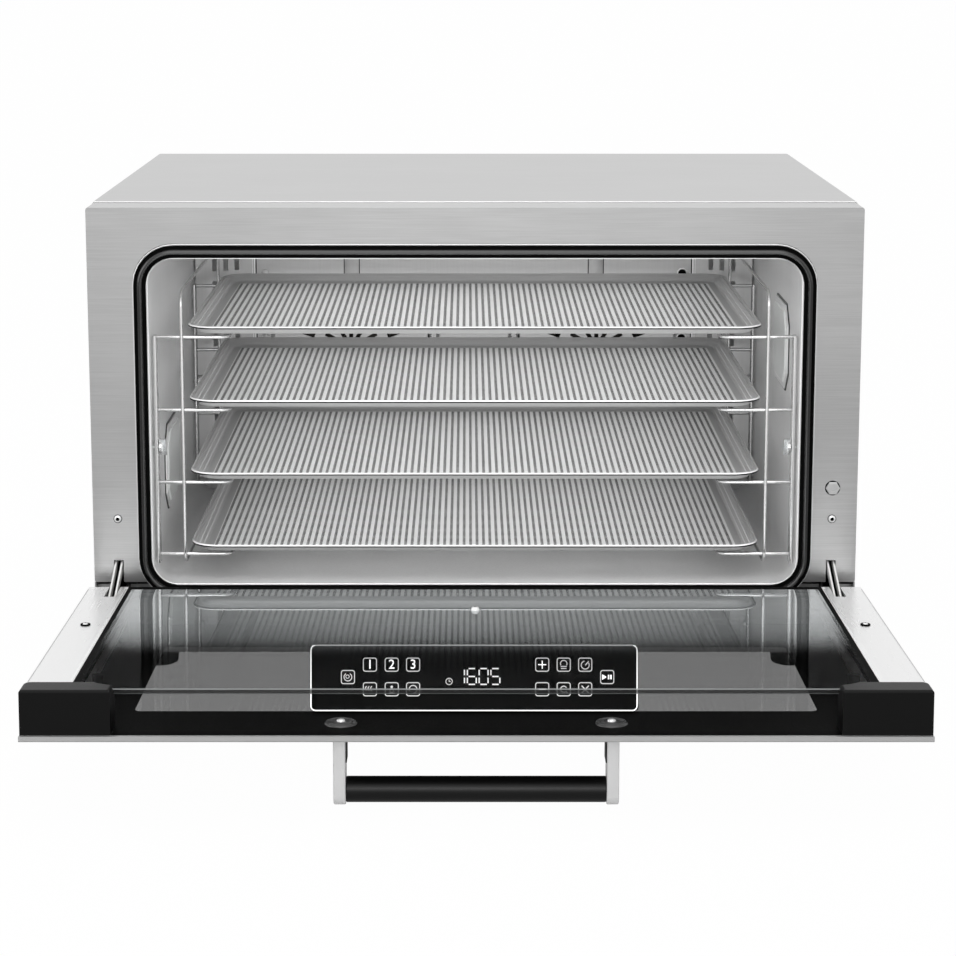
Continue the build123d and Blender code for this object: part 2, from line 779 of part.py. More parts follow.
# Trays: a pressed pan with sloping sides and a rolled rim
tray_middle = behind(tray_setback + tray_length / 2)
rim_width = 5
rim_depth = 4
rim_roll = 1.2
tray_clearance = 0.3
pan_inset = 17
pan_corner = tray_corner - 11
for number, level in enumerate(guide_levels, start=1):
    pan_bottom = level + guide_wire + tray_clearance
    with BuildPart() as tray:
        for inward, mode in ((0, Mode.ADD), (tray_sheet, Mode.SUBTRACT)):
            with BuildSketch(Plane.XY.offset(pan_bottom + inward)) as pan_floor:
                with Locations((0, tray_middle)):
                    RectangleRounded(
                        tray_width - 2 * (pan_inset + inward),
                        tray_length - 2 * (pan_inset + inward),
                        pan_corner - inward,
                    )
            with BuildSketch(Plane.XY.offset(pan_bottom + tray_depth)) as pan_mouth:
                with Locations((0, tray_middle)):
                    RectangleRounded(
                        tray_width - 2 * (rim_width + inward - 1),
                        tray_length - 2 * (rim_width + inward - 1),
                        tray_corner - rim_width - inward + 1,
                    )
            loft(mode=mode)
        with BuildSketch(Plane.XY.offset(pan_bottom + tray_depth - rim_depth)) as rim_outline:
            with Locations((0, tray_middle)):
                RectangleRounded(tray_width, tray_length, tray_corner)
                RectangleRounded(
                    tray_width - 2 * rim_width,
                    tray_length - 2 * rim_width,
                    tray_corner - rim_width,
                    mode=Mode.SUBTRACT,
                )
        extrude(amount=rim_depth)
        rim_top = tray.faces().filter_by(Axis.Z).sort_by(Axis.Z)[-1]
        chamfer(rim_top.outer_wire().edges(), rim_roll)
    tray.part.label = f"tray_{number}"
    export_step(tray.part, f"parts/tray_{number}.step")

# Back panel with motor vents, the outlet hole and the cable entry
gland_x = 330
gland_level = 62
gland_radius = 10
motor_vents = 7
motor_vent = (96, 5)
motor_vent_pitch = 16
low_vents = 12
low_vent = (5, 40)
low_vent_pitch = 14
low_vent_level = 70
with BuildPart() as back_panel:
    with BuildSketch(facing(casing_depth - casing_sheet)):
        with Locations((0, (shell_ceiling + foot_height) / 2)):
            Rectangle(2 * shell_inner, shell_ceiling - foot_height)
        with Locations((-fan_half, fan_level), (fan_half, fan_level)):
            with GridLocations(0, motor_vent_pitch, 1, motor_vents):
                Rectangle(*motor_vent, mode=Mode.SUBTRACT)
        with Locations((0, low_vent_level)):
            with GridLocations(low_vent_pitch, 0, low_vents, 1):
                Rectangle(*low_vent, mode=Mode.SUBTRACT)
        with Locations((outlet_x, outlet_level)):
            Circle(outlet_bore + liner_sheet + hole_clearance, mode=Mode.SUBTRACT)
        with Locations((gland_x, gland_level)):
            Circle(gland_radius, mode=Mode.SUBTRACT)
    extrude(amount=-casing_sheet)
back_panel.part.label = "back_panel"
export_step(back_panel.part, "parts/back_panel.step")

# Steam outlet: a tube from the oven's back wall, with a collar on the back panel and a spigot
outlet_collar = 2
outlet_collar_radius = 21
with BuildPart() as steam_outlet:
    with BuildSketch(facing(cavity_depth)) as tube_outline:
        with Locations((outlet_x, outlet_level)):
            Circle(outlet_bore + liner_sheet)
    extrude(amount=-(casing_depth - cavity_depth))
    with BuildSketch(facing(casing_depth)) as collar_outline:
        with Locations((outlet_x, outlet_level)):
            Circle(outlet_collar_radius)
    extrude(amount=-outlet_collar)
    with BuildSketch(facing(casing_depth)) as spigot_outline:
        with Locations((outlet_x, outlet_level)):
            Circle(outlet_radius)
    extrude(amount=-outlet_reach)
    with BuildSketch(facing(cavity_depth)) as steam_bore:
        with Locations((outlet_x, outlet_level)):
            Circle(outlet_bore)
    extrude(amount=-(casing_depth + outlet_reach - cavity_depth), mode=Mode.SUBTRACT)
steam_outlet.part.label = "steam_outlet"
export_step(steam_outlet.part, "parts/steam_outlet.step")

# Cable gland in the back panel, with an empty bore for the supply cable
gland_nut_radius = 15
gland_nut = 7
gland_dome_radius = 12
gland_dome = 10
gland_inside = 14
cable_radius = 5
with BuildPart() as cable_gland:
    with BuildSketch(facing(casing_depth)) as nut_outline:
        with Locations((gland_x, gland_level)):
            RegularPolygon(gland_nut_radius, 6)
    extrude(amount=-gland_nut)
    with BuildSketch(facing(casing_depth + gland_nut)) as dome_outline:
        with Locations((gland_x, gland_level)):
            Circle(gland_dome_radius)
    extrude(amount=-gland_dome, taper=12)
    with BuildSketch(facing(casing_depth - gland_inside)) as thread_outline:
        with Locations((gland_x, gland_level)):
            Circle(gland_radius)
    extrude(amount=-gland_inside)
    with BuildSketch(facing(casing_depth - gland_inside)) as cable_bore:
        with Locations((gland_x, gland_level)):
            Circle(cable_radius)
    extrude(amount=-(gland_inside + gland_nut + gland_dome), mode=Mode.SUBTRACT)
cable_gland.part.label = "cable_gland"
export_step(cable_gland.part, "parts/cable_gland.step")

# Terminal block on the base, beside the cable entry, with two rows of wire pockets
base_top = foot_height + casing_sheet
block_x = gland_x - 60
block_from_back = 60
block_size = (60, 26)
block_height = 24
pocket_size = (9, 8)
pocket_pitch = (14, 18)
pocket_floor = 10
with BuildPart() as terminal_block:
    with BuildSketch(Plane.XY.offset(base_top)) as block_outline:
        with Locations((block_x, behind(casing_depth - block_from_back))):
            Rectangle(*block_size)
    extrude(amount=block_height)
    with BuildSketch(Plane.XY.offset(base_top + pocket_floor)) as pockets:
        with Locations((block_x, behind(casing_depth - block_from_back))):
            with GridLocations(*pocket_pitch, 4, 2):
                Rectangle(*pocket_size)
    extrude(amount=block_height, mode=Mode.SUBTRACT)
terminal_block.part.label = "terminal_block"
export_step(terminal_block.part, "parts/terminal_block.step")

# Power board on pillars under the liner, with its relays, transformer and capacitors
board_x = -250
board_depth = 250
board_size = (160, 110)
board_sheet = 1.6
pillar_radius = 3
pillar_height = 8
pillar_inset = 10
relay_size = (19, 16)
relay_pitch = 26
relay_count = 5
relay_height = 16
transformer_size = (40, 34)
capacitor_radius = 8
capacitor_pitch = 22
capacitor_height = 22
front_row = board_depth - 30
back_row = board_depth + 20
board_top = base_top + pillar_height + board_sheet
with BuildPart() as power_board:
    with BuildSketch(Plane.XY.offset(base_top)) as pillars:
        with Locations((board_x, behind(board_depth))):
            with GridLocations(board_size[0] - 2 * pillar_inset, board_size[1] - 2 * pillar_inset, 2, 2):
                Circle(pillar_radius)
    extrude(amount=pillar_height)
    with BuildSketch(Plane.XY.offset(base_top + pillar_height)) as board_outline:
        with Locations((board_x, behind(board_depth))):
            Rectangle(*board_size)
    extrude(amount=board_sheet)
    with BuildSketch(Plane.XY.offset(board_top)) as relays:
        with Locations((board_x, behind(back_row))):
            with GridLocations(relay_pitch, 0, relay_count, 1):
                Rectangle(*relay_size)
        with Locations((board_x - transformer_size[0], behind(front_row))):
            Rectangle(*transformer_size)
    extrude(amount=relay_height)
    with BuildSketch(Plane.XY.offset(board_top)) as capacitors:
        with Locations((board_x + capacitor_pitch, behind(front_row))):
            with GridLocations(capacitor_pitch, 0, 3, 1):
                Circle(capacitor_radius)
    extrude(amount=capacitor_height)
power_board.part.label = "power_board"
export_step(power_board.part, "parts/power_board.step")

# Hinge boxes behind the front frame: a folded channel for the stay arm, and the hinge lug
box_height = box_top - box_bottom
for side, sign in sides:
    box_x = sign * slot_side
    with BuildPart() as hinge_box:
        with BuildSketch(facing(frame_sheet)) as channel_section:
            with Locations((box_x, (box_bottom + box_top) / 2)):
                Rectangle(box_width, box_height)
                Rectangle(box_width - 2 * box_wall, box_height - 2 * box_wall, mode=Mode.SUBTRACT)
        extrude(amount=frame_sheet - box_back)
        with BuildSketch(Plane.YZ.offset(box_x - lug_sheet / 2)) as lug_profile:
            with Locations((behind(-hinge_out), hinge_level)):
                Circle(lug_radius)
            with Locations((behind(0), hinge_level)):
                Rectangle(2 * hinge_out, 2 * lug_radius)
            with Locations((behind(-hinge_out), hinge_level)):
                Circle(hinge_pin_radius + running_clearance, mode=Mode.SUBTRACT)
        extrude(amount=lug_sheet)
    hinge_box.part.label = f"{side}_hinge_box"
    export_step(hinge_box.part, f"parts/{side}_hinge_box.step")

# Front frame screws with a cross recess, and the hexagon-head plug on the right
screw_level = 172
screw_radius = 4
screw_head = 2.2
recess_length = 4.6
recess_width = 0.9
recess_depth = 1.2
with BuildPart() as frame_screws:
    with BuildSketch(facing(0)) as screw_heads:
        with Locations((-slot_side, screw_level), (slot_side, screw_level)):
            Circle(screw_radius)
    extrude(amount=screw_head, taper=20)
    with BuildSketch(facing(-screw_head)) as screw_recesses:
        with Locations((-slot_side, screw_level), (slot_side, screw_level)):
            Rectangle(recess_length, recess_width)
            Rectangle(recess_width, recess_length)
    extrude(amount=-recess_depth, mode=Mode.SUBTRACT)
frame_screws.part.label = "frame_screws"
export_step(frame_screws.part, "parts/frame_screws.step")

hex_level = 205
hex_radius = 7.5
hex_head = 3
hex_edge = 0.7
hex_dimple_radius = 3.6
hex_dimple = 1.2
with BuildPart() as hex_plug:
    with BuildSketch(facing(0)) as hex_outline:
        with Locations((slot_side, hex_level)):
            RegularPolygon(hex_radius, 6)
    extrude(amount=hex_head)
    chamfer(hex_plug.faces().sort_by(Axis.Y)[0].edges(), hex_edge)
    with BuildSketch(facing(-hex_head)) as dimple_outline:
        with Locations((slot_side, hex_level)):
            Circle(hex_dimple_radius)
    extrude(amount=-hex_dimple, mode=Mode.SUBTRACT)
hex_plug.part.label = "hex_plug"
export_step(hex_plug.part, "parts/hex_plug.step")

# Door outer glass, with the two handle screw holes
inner_half = casing_half - rail_width
glass_top = door_top - trim_width
handle_half = (handle_span - bracket_width) / 2
door_corner = 10
handle_hole = 3.2
with BuildPart() as outer_glass:
    with BuildSketch(door_level(door_outer - pane)) as outer_outline:
        with Locations((0, (door_bottom + glass_top) / 2)):
            Rectangle(casing_width, glass_top - door_bottom)
        fillet(outer_outline.vertices().group_by(Axis.Y)[-1], door_corner)
        with Locations((-handle_half, handle_reach), (handle_half, handle_reach)):
            Circle(handle_hole, mode=Mode.SUBTRACT)
    extrude(amount=pane)
outer_glass.part.label = "outer_glass"
export_step(outer_glass.part, "parts/outer_glass.step")

# Silver trim along the door's upper edge
with BuildPart() as door_top_trim:
    with BuildSketch(door_level(door_outer - pane)) as trim_outline:
        with Locations((0, door_top - trim_width / 2)):
            Rectangle(casing_width, trim_width)
    extrude(amount=pane)
    chamfer(door_top_trim.edges().filter_by(Axis.X).group_by(Axis.Y)[0], 1)
door_top_trim.part.label = "door_top_trim"
export_step(door_top_trim.part, "parts/door_top_trim.step")

# Door inner glass, let in flush between the rails
inner_glass_start = 3.9
inner_glass_end = 374
inner_glass_corner = 3
button_reach = 92
button_pin = 2.5
button_ring = 5.5
button_proud = 1.2
inner_glass_half = inner_half - seal_width
with BuildPart() as inner_glass:
    with BuildSketch(door_level(door_inner)):
        with Locations((0, (inner_glass_start + inner_glass_end) / 2)):
            RectangleRounded(2 * inner_glass_half, inner_glass_end - inner_glass_start, inner_glass_corner)
        with Locations((0, button_reach)):
            Circle(button_pin, mode=Mode.SUBTRACT)
    extrude(amount=pane)
inner_glass.part.label = "inner_glass"
export_step(inner_glass.part, "parts/inner_glass.step")

# Black seal strip along the inner glass's sides and lower edge
with BuildPart() as inner_glass_seal:
    with BuildSketch(door_level(door_inner)):
        with Locations((0, (cap_start + door_bottom) / 2)):
            Rectangle(2 * inner_half, cap_start - door_bottom)
        with Locations((0, (inner_glass_end + inner_glass_start) / 2)):
            Rectangle(2 * inner_glass_half, inner_glass_end - inner_glass_start, mode=Mode.SUBTRACT)
    extrude(amount=pane)
inner_glass_seal.part.label = "inner_glass_seal"
export_step(inner_glass_seal.part, "parts/inner_glass_seal.step")

# Lower door channel between the rails, closing the gap between the panes
channel_width = 20
channel_height = door_outer - door_inner - 2 * pane
with BuildPart() as door_bottom_channel:
    with BuildSketch(door_level(door_inner + pane)) as channel_outline:
        with Locations((0, door_bottom + channel_width / 2)):
            Rectangle(2 * inner_half, channel_width)
    extrude(amount=channel_height)
    with BuildSketch(door_level(door_inner + pane + rail_sheet)) as channel_hollow:
        with Locations((0, door_bottom + rail_sheet + channel_width / 2)):
            Rectangle(2 * inner_half, channel_width)
    extrude(amount=channel_height - 2 * rail_sheet, mode=Mode.SUBTRACT)
door_bottom_channel.part.label = "door_bottom_channel"
export_step(door_bottom_channel.part, "parts/door_bottom_channel.step")

# Door side rails: folded channels with a slot for the stay arm and the hinge lug
rail_depth = door_outer - pane - door_inner
rail_corner = 10
stay_slot_end = stay_reach + stay_height / 2 + 2.4
stay_slot_width = slot_width + 1.5
lug_notch = 3
cap_inset = 0.5
cap_corner_radius = 7
cap_edge = 2.5
gasket_relief = 1.5
cap_fit = 0.2
plug_length = 18
for side, sign in sides:
    rail_middle = sign * (casing_half - rail_width / 2)
    with BuildPart() as door_rail:
        with BuildSketch(door_level(door_inner)) as rail_outline:
            with Locations((rail_middle, (door_bottom + cap_start) / 2)):
                Rectangle(rail_width, cap_start - door_bottom)
            outer_corner = rail_outline.vertices().group_by(Axis.Y)[-1].sort_by(Axis.X)[0 if sign < 0 else -1]
            fillet(outer_corner, rail_corner)
        extrude(amount=rail_depth)
        with BuildSketch(door_level(door_inner + rail_sheet)):
            with Locations((rail_middle, (door_bottom + cap_start) / 2 + rail_sheet)):
                Rectangle(rail_width - 2 * rail_sheet, cap_start - door_bottom)
        extrude(amount=rail_depth, mode=Mode.SUBTRACT)
        with BuildSketch(door_level(door_inner)) as stay_slot:
            with Locations((sign * slot_side, (door_bottom + stay_slot_end) / 2)):
                Rectangle(stay_slot_width, stay_slot_end - door_bottom)
        extrude(amount=rail_sheet, mode=Mode.SUBTRACT)
        with BuildSketch(door_level(door_inner)) as lug_slot:
            with Locations((sign * slot_side, door_bottom)):
                Rectangle(stay_slot_width, 2 * lug_notch)
        extrude(amount=rail_depth, mode=Mode.SUBTRACT)
    door_rail.part.label = f"{side}_door_rail"
    export_step(door_rail.part, f"parts/{side}_door_rail.step")

    # Moulded corner cap at the rail's upper end, plugged into the rail
    cap_middle = sign * (casing_half - cap_width / 2 - cap_inset)
    with BuildPart() as corner_cap:
        with BuildSketch(door_level(door_inner - cap_proud)) as cap_outline:
            with Locations((cap_middle, (cap_start + glass_top) / 2)):
                Rectangle(cap_width, glass_top - cap_start)
            cap_corner = cap_outline.vertices().group_by(Axis.Y)[0].sort_by(Axis.X)[0 if sign < 0 else -1]
            fillet(cap_corner, cap_corner_radius)
        extrude(amount=door_outer - pane - door_inner + cap_proud)
        cap_face = corner_cap.faces().sort_by(Axis.Z)[-1]
        fillet(cap_face.edges(), cap_edge)
        with BuildSketch(door_level(door_inner - cap_proud)) as gasket_room:
            with Locations((0, cavity_middle - hinge_level)):
                RectangleRounded(
                    2 * (gasket_half + gasket_relief),
                    gasket_height + 2 * gasket_relief,
                    gasket_corner + gasket_relief,
                )
        extrude(amount=cap_proud, mode=Mode.SUBTRACT)
        with BuildSketch(door_level(door_inner)) as glass_ledge:
            with Locations((0, cap_start)):
                Rectangle(
                    2 * (inner_glass_half + cap_fit),
                    2 * (inner_glass_end - cap_start + cap_fit),
                )
        extrude(amount=pane, mode=Mode.SUBTRACT)
        with BuildSketch(door_level(door_inner + rail_sheet + cap_fit)) as rail_plug:
            with Locations((rail_middle, cap_start - plug_length / 2 + cap_edge)):
                Rectangle(rail_width - 2 * (rail_sheet + cap_fit), plug_length + cap_edge)
        extrude(amount=rail_depth - rail_sheet - 2 * cap_fit)
    corner_cap.part.label = f"{side}_corner_cap"
    export_step(corner_cap.part, f"parts/{side}_corner_cap.step")

    # Stay arm: two plates on one door pin, joined by a roller pin that rides in the hinge box
    stay_start = door_point(sign * slot_side, stay_reach, stay_out)
    stay_end_y = stay_start.Y + stay_length * cos(radians(stay_angle))
    stay_end_z = stay_start.Z + stay_length * sin(radians(stay_angle))
    with BuildPart() as stay_arm:
        for plate_x in (-stay_gap / 2 - stay_sheet, stay_gap / 2):
            with BuildSketch(Plane.YZ.offset(sign * slot_side + plate_x)):
                with Locations(((stay_start.Y + stay_end_y) / 2, (stay_start.Z + stay_end_z) / 2)):
                    SlotCenterToCenter(stay_length, stay_height, rotation=stay_angle)
                with Locations((stay_start.Y, stay_start.Z)):
                    Circle(stay_pin_radius + running_clearance, mode=Mode.SUBTRACT)
            extrude(amount=stay_sheet)
        with BuildSketch(Plane.YZ.offset(sign * slot_side - roller_half)) as roller_outline:
            with Locations((stay_end_y, stay_end_z)):
                Circle(roller_radius)
        extrude(amount=2 * roller_half)
    stay_arm.part.label = f"{side}_stay_arm"
    export_step(stay_arm.part, f"parts/{side}_stay_arm.step")

# Hinge pins and stay pins, fixed across the rails
with BuildPart() as hinge_pins:
    for side, sign in sides:
        with BuildSketch(Plane.YZ.offset(sign * (inner_half + rail_sheet))):
            with Locations((behind(-hinge_out), hinge_level)):
                Circle(hinge_pin_radius)
        extrude(amount=sign * (rail_width - 2 * rail_sheet))
hinge_pins.part.label = "hinge_pins"
export_step(hinge_pins.part, "parts/hinge_pins.step")

with BuildPart() as stay_pins:
    for side, sign in sides:
        with BuildSketch(Plane.YZ.offset(sign * (inner_half + rail_sheet))):
            with Locations((stay_start.Y, stay_start.Z)):
                Circle(stay_pin_radius)
        extrude(amount=sign * (rail_width - 2 * rail_sheet))
stay_pins.part.label = "stay_pins"
export_step(stay_pins.part, "parts/stay_pins.step")

# Round-headed screws in the rails
rail_screw_reach = 150
rail_screw_radius = 4.5
rail_screw_head = 2
rail_screw_x = casing_half - rail_width / 2
with BuildPart() as rail_screws:
    with BuildSketch(door_level(door_inner)) as rail_screw_heads:
        with Locations((-rail_screw_x, rail_screw_reach), (rail_screw_x, rail_screw_reach)):
            Circle(rail_screw_radius)
    extrude(amount=-rail_screw_head, taper=25)
    with BuildSketch(door_level(door_inner - rail_screw_head)) as rail_screw_recesses:
        with Locations((-rail_screw_x, rail_screw_reach), (rail_screw_x, rail_screw_reach)):
            Rectangle(recess_length, recess_width)
            Rectangle(recess_width, recess_length)
    extrude(amount=recess_depth, mode=Mode.SUBTRACT)
rail_screws.part.label = "rail_screws"
export_step(rail_screws.part, "parts/rail_screws.step")

# Spacer pillars that hold the two panes apart
spacer_radius = 6
spacer_inset = 8
spacer_pitch = 240
spacer_middle = 190
with BuildPart() as glass_spacers:
    with BuildSketch(door_level(door_inner + pane)) as spacer_outline:
        with Locations((0, spacer_middle)):
            with GridLocations(2 * (inner_glass_half - spacer_inset), spacer_pitch, 2, 2):
                Circle(spacer_radius)
    extrude(amount=door_outer - door_inner - 2 * pane)
glass_spacers.part.label = "glass_spacers"
export_step(glass_spacers.part, "parts/glass_spacers.step")

# Touch control panel on the inside of the outer glass
panel_width = 295
panel_start = 108
panel_end = 322
panel_thickness = 2.4
panel_corner = 8
with BuildPart() as control_panel:
    with BuildSketch(door_level(door_outer - pane - panel_thickness)):
        with Locations((0, (panel_start + panel_end) / 2)):
            RectangleRounded(panel_width, panel_end - panel_start, panel_corner)
    extrude(amount=panel_thickness)
control_panel.part.label = "control_panel"
export_step(control_panel.part, "parts/control_panel.step")

# Glass button: a ring washer and pin at the middle of the inner glass
with BuildPart() as glass_button:
    with BuildSketch(door_level(door_inner)) as ring_outline:
        with Locations((0, button_reach)):
            Circle(button_ring)
    extrude(amount=-button_proud)
    with BuildSketch(door_level(door_inner)) as pin_outline:
        with Locations((0, button_reach)):
            Circle(button_pin)
    extrude(amount=pane)
glass_button.part.label = "glass_button"
export_step(glass_button.part, "parts/glass_button.step")

# Handle: two flat brackets with round ends, and a straight grip between them
with BuildPart() as handle_brackets:
    for side, sign in sides:
        with BuildSketch(door_level(door_outer)) as bracket_section:
            with Locations((sign * handle_half, handle_reach)):
                Rectangle(bracket_width, bracket_depth)
        extrude(amount=handle_stand_off + grip_radius)
    for end_face in handle_brackets.faces().group_by(Axis.Z)[0]:
        fillet(end_face.edges().filter_by(Axis.X), bracket_end)
    bracket_sides = handle_brackets.faces().filter_by(Axis.X).group_by(Axis.X)
    for outer_side in bracket_sides[0] + bracket_sides[-1]:
        fillet(outer_side.edges().sort_by(Axis.Z)[:-1], bracket_edge)
handle_brackets.part.label = "handle_brackets"
export_step(handle_brackets.part, "parts/handle_brackets.step")

grip_centre = door_point(0, handle_reach, door_outer + handle_stand_off)
with BuildPart() as handle_grip:
    with BuildSketch(Plane.YZ.offset(-handle_half + bracket_width / 2)):
        with Locations((grip_centre.Y, grip_centre.Z)):
            Circle(grip_radius)
    extrude(amount=2 * handle_half - bracket_width)
handle_grip.part.label = "handle_grip"
export_step(handle_grip.part, "parts/handle_grip.step")

# Handle screws, with wide rubber washers against the inside of the outer glass
washer = 2
washer_radius = 15
handle_screw_head = 3.2
handle_screw_radius = 6
handle_bolt = 3
with BuildPart() as handle_washers:
    with BuildSketch(door_level(door_outer - pane)) as washer_outline:
        with Locations((-handle_half, handle_reach), (handle_half, handle_reach)):
            Circle(washer_radius)
            Circle(handle_hole, mode=Mode.SUBTRACT)
    extrude(amount=-washer, taper=20)
handle_washers.part.label = "handle_washers"
export_step(handle_washers.part, "parts/handle_washers.step")

with BuildPart() as handle_screws:
    with BuildSketch(door_level(door_outer - pane - washer)) as screw_head_outline:
        with Locations((-handle_half, handle_reach), (handle_half, handle_reach)):
            Circle(handle_screw_radius)
    extrude(amount=-handle_screw_head, taper=22)
    with BuildSketch(door_level(door_outer - pane - washer)) as bolt_outline:
        with Locations((-handle_half, handle_reach), (handle_half, handle_reach)):
            Circle(handle_bolt)
    extrude(amount=pane + washer)
handle_screws.part.label = "handle_screws"
export_step(handle_screws.part, "parts/handle_screws.step")

print(f"front face at y = {front_y:.2f}")
print(f"hinge axis at y = {behind(-hinge_out):.2f}, z = {hinge_level}")
print(f"stay pin at y = {stay_start.Y:.3f}, z = {stay_start.Z:.3f}")
pan_levels = [round(level + guide_wire + tray_clearance, 2) for level in guide_levels]
print(f"tray pan levels: {pan_levels}")
print(f"grip centre at y = {grip_centre.Y:.2f}, z = {grip_centre.Z:.2f}")
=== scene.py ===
import bmesh
import bpy
import json
import math
from mathutils import Matrix, Vector


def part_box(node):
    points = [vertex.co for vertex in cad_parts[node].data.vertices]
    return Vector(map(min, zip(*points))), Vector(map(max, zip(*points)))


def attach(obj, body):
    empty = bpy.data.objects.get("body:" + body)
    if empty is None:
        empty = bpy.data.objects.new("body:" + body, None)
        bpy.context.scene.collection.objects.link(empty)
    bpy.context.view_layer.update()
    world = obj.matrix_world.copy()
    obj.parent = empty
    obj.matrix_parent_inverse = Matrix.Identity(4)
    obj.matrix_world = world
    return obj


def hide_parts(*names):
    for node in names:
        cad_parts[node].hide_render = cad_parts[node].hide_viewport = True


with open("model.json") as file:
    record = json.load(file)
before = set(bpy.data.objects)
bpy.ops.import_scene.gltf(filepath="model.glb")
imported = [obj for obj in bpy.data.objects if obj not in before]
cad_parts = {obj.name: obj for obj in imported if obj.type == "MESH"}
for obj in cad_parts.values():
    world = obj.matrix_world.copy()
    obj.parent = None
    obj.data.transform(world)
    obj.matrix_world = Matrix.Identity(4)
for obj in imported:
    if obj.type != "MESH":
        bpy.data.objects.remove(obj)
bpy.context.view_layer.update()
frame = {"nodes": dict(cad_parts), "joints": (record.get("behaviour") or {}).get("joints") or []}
cad = frame["nodes"]
scene = bpy.context.scene
mm = 0.001
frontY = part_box("front_frame")[0].y  # the oven's front face
hinge = next(Vector(j["pos_m"]) for j in frame["joints"] if j["name"] == "door_hinge")
doorTilt = math.radians(1.8)  # the open door rests this far above level
alongDoor = Vector((0, -math.cos(doorTilt), math.sin(doorTilt)))
outOfDoor = Vector((0, -math.sin(doorTilt), -math.cos(doorTilt)))
rightward, backward, upward = Vector((1, 0, 0)), Vector((0, 1, 0)), Vector((0, 0, 1))
sides = {"left": -1, "right": 1}
finish = {}  # the materials, by name
print("frame loaded:", len(cad), "nodes")


def doorPoint(x, reach, out):
    return hinge + Vector((x, 0, 0)) + alongDoor * reach + outOfDoor * out


def hexLinear(code):
    parts = [int(code[i : i + 2], 16) / 255 for i in (1, 3, 5)]
    return (*[c / 12.92 if c < 0.04045 else ((c + 0.055) / 1.055) ** 2.4 for c in parts], 1)


def addNode(tree, kind, settings=None, inputs=None, links=None):
    node = tree.nodes.new("ShaderNode" + kind)
    for name, value in (settings or {}).items():
        setattr(node, name, value)
    for name, value in (inputs or {}).items():
        node.inputs[name].default_value = value
    for name, source in (links or {}).items():
        tree.links.new(source, node.inputs[name])
    return node


def newMaterial(name, **sockets):
    finish[name] = bpy.data.materials.new(name)
    finish[name].use_nodes = True
    tree = finish[name].node_tree
    surface = tree.nodes["Principled BSDF"]
    for socket, value in sockets.items():
        label = socket.replace("_", " ")
        surface.inputs[label].default_value = hexLinear(value) if isinstance(value, str) else value
    return tree, surface


def drive(tree, surface, **sources):
    # lets patterns drive the shader's sockets
    for socket, source in sources.items():
        tree.links.new(source, surface.inputs[socket.replace("_", " ")])


# Camera: the photograph's viewpoint, pitched down a little and shifted the rest of the way
camera = {
    "place": (-0.008, -2.558, 0.776),
    "pitch": 9.42,
    "sensor": 36,
    "lens": 91.19,
    "shift": (0.0113, -0.15),
    "pixels": 956,
}
cam = bpy.data.objects.new("camera", bpy.data.cameras.new("camera"))
cam.location = camera["place"]
cam.rotation_euler = (math.radians(90 - camera["pitch"]), 0, 0)
cam.data.sensor_width = camera["sensor"]
cam.data.lens = camera["lens"]
cam.data.shift_x, cam.data.shift_y = camera["shift"]
scene.collection.objects.link(cam)
scene.camera = cam


def addSeenRays(tree):
    # two outputs that are 1 for the rays that show the background: without and with those in gloss
    path = addNode(tree, "LightPath").outputs
    larger = {"operation": "MAXIMUM"}
    straight = addNode(tree, "Math", larger, links={0: path["Is Camera Ray"], 1: path["Is Transmission Ray"]})
    seen = addNode(tree, "Math", larger, links={0: straight.outputs[0], 1: path["Is Glossy Ray"]})
    return straight.outputs[0], seen.outputs[0]


# Studio: a white floor, a white surround and soft lamps
studio = {
    "floorSize": 200,
    "floorColour": "#f4f4f4",
    "floorGlow": 0.985,
    "pool": (-0.3, -3.2, 0),
    "poolRadius": (1.1, 2.7),
    "outsidePool": 0.4,
    "surround": "#f2f2f2",
    "surroundStrength": 0.7,
}
white = (1, 1, 1, 1)
scene.view_settings.view_transform = "Standard"
scene.world = bpy.data.worlds.new("surround")
scene.world.use_nodes = True
tree = scene.world.node_tree
tree.nodes.clear()
seen = addSeenRays(tree)[1]
shade = {"Color": hexLinear(studio["surround"]), "Strength": studio["surroundStrength"]}
lit = addNode(tree, "Background", inputs=shade)
bare = addNode(tree, "Background", inputs={"Color": white, "Strength": 1})
both = addNode(tree, "MixShader", links={0: seen, 1: lit.outputs[0], 2: bare.outputs[0]})
addNode(tree, "OutputWorld", links={"Surface": both.outputs[0]})

floorMat = bpy.data.materials.new("whiteStudioFloor")
floorMat.use_nodes = True
tree = floorMat.node_tree
tree.nodes.clear()
straight, seen = addSeenRays(tree)
paint = addNode(tree, "BsdfDiffuse", inputs={"Color": hexLinear(studio["floorColour"])})
share = addNode(tree, "Math", {"operation": "MULTIPLY"}, {1: studio["floorGlow"]}, {0: seen})
# in gloss the floor glows brightest in a painted pool of light in front of the oven
spot = addNode(tree, "TexCoord").outputs["Object"]
apart = addNode(tree, "VectorMath", {"operation": "DISTANCE"}, {1: studio["pool"]}, {0: spot})
inner, outer = studio["poolRadius"]
pool = addNode(
    tree,
    "MapRange",
    {"interpolation_type": "SMOOTHSTEP"},
    {"From Min": inner, "From Max": outer, "To Min": 1, "To Max": studio["outsidePool"]},
    {"Value": apart.outputs["Value"]},
)
level = addNode(tree, "Mix", {"data_type": "FLOAT"}, {"B": 1}, {"Factor": straight, "A": pool.outputs[0]})
glow = addNode(tree, "Emission", inputs={"Color": white}, links={"Strength": level.outputs[0]})
both = addNode(tree, "MixShader", links={0: share.outputs[0], 1: paint.outputs[0], 2: glow.outputs[0]})
addNode(tree, "OutputMaterial", links={"Surface": both.outputs[0]})
bm = bmesh.new()
bmesh.ops.create_grid(bm, x_segments=1, y_segments=1, size=studio["floorSize"] / 2)
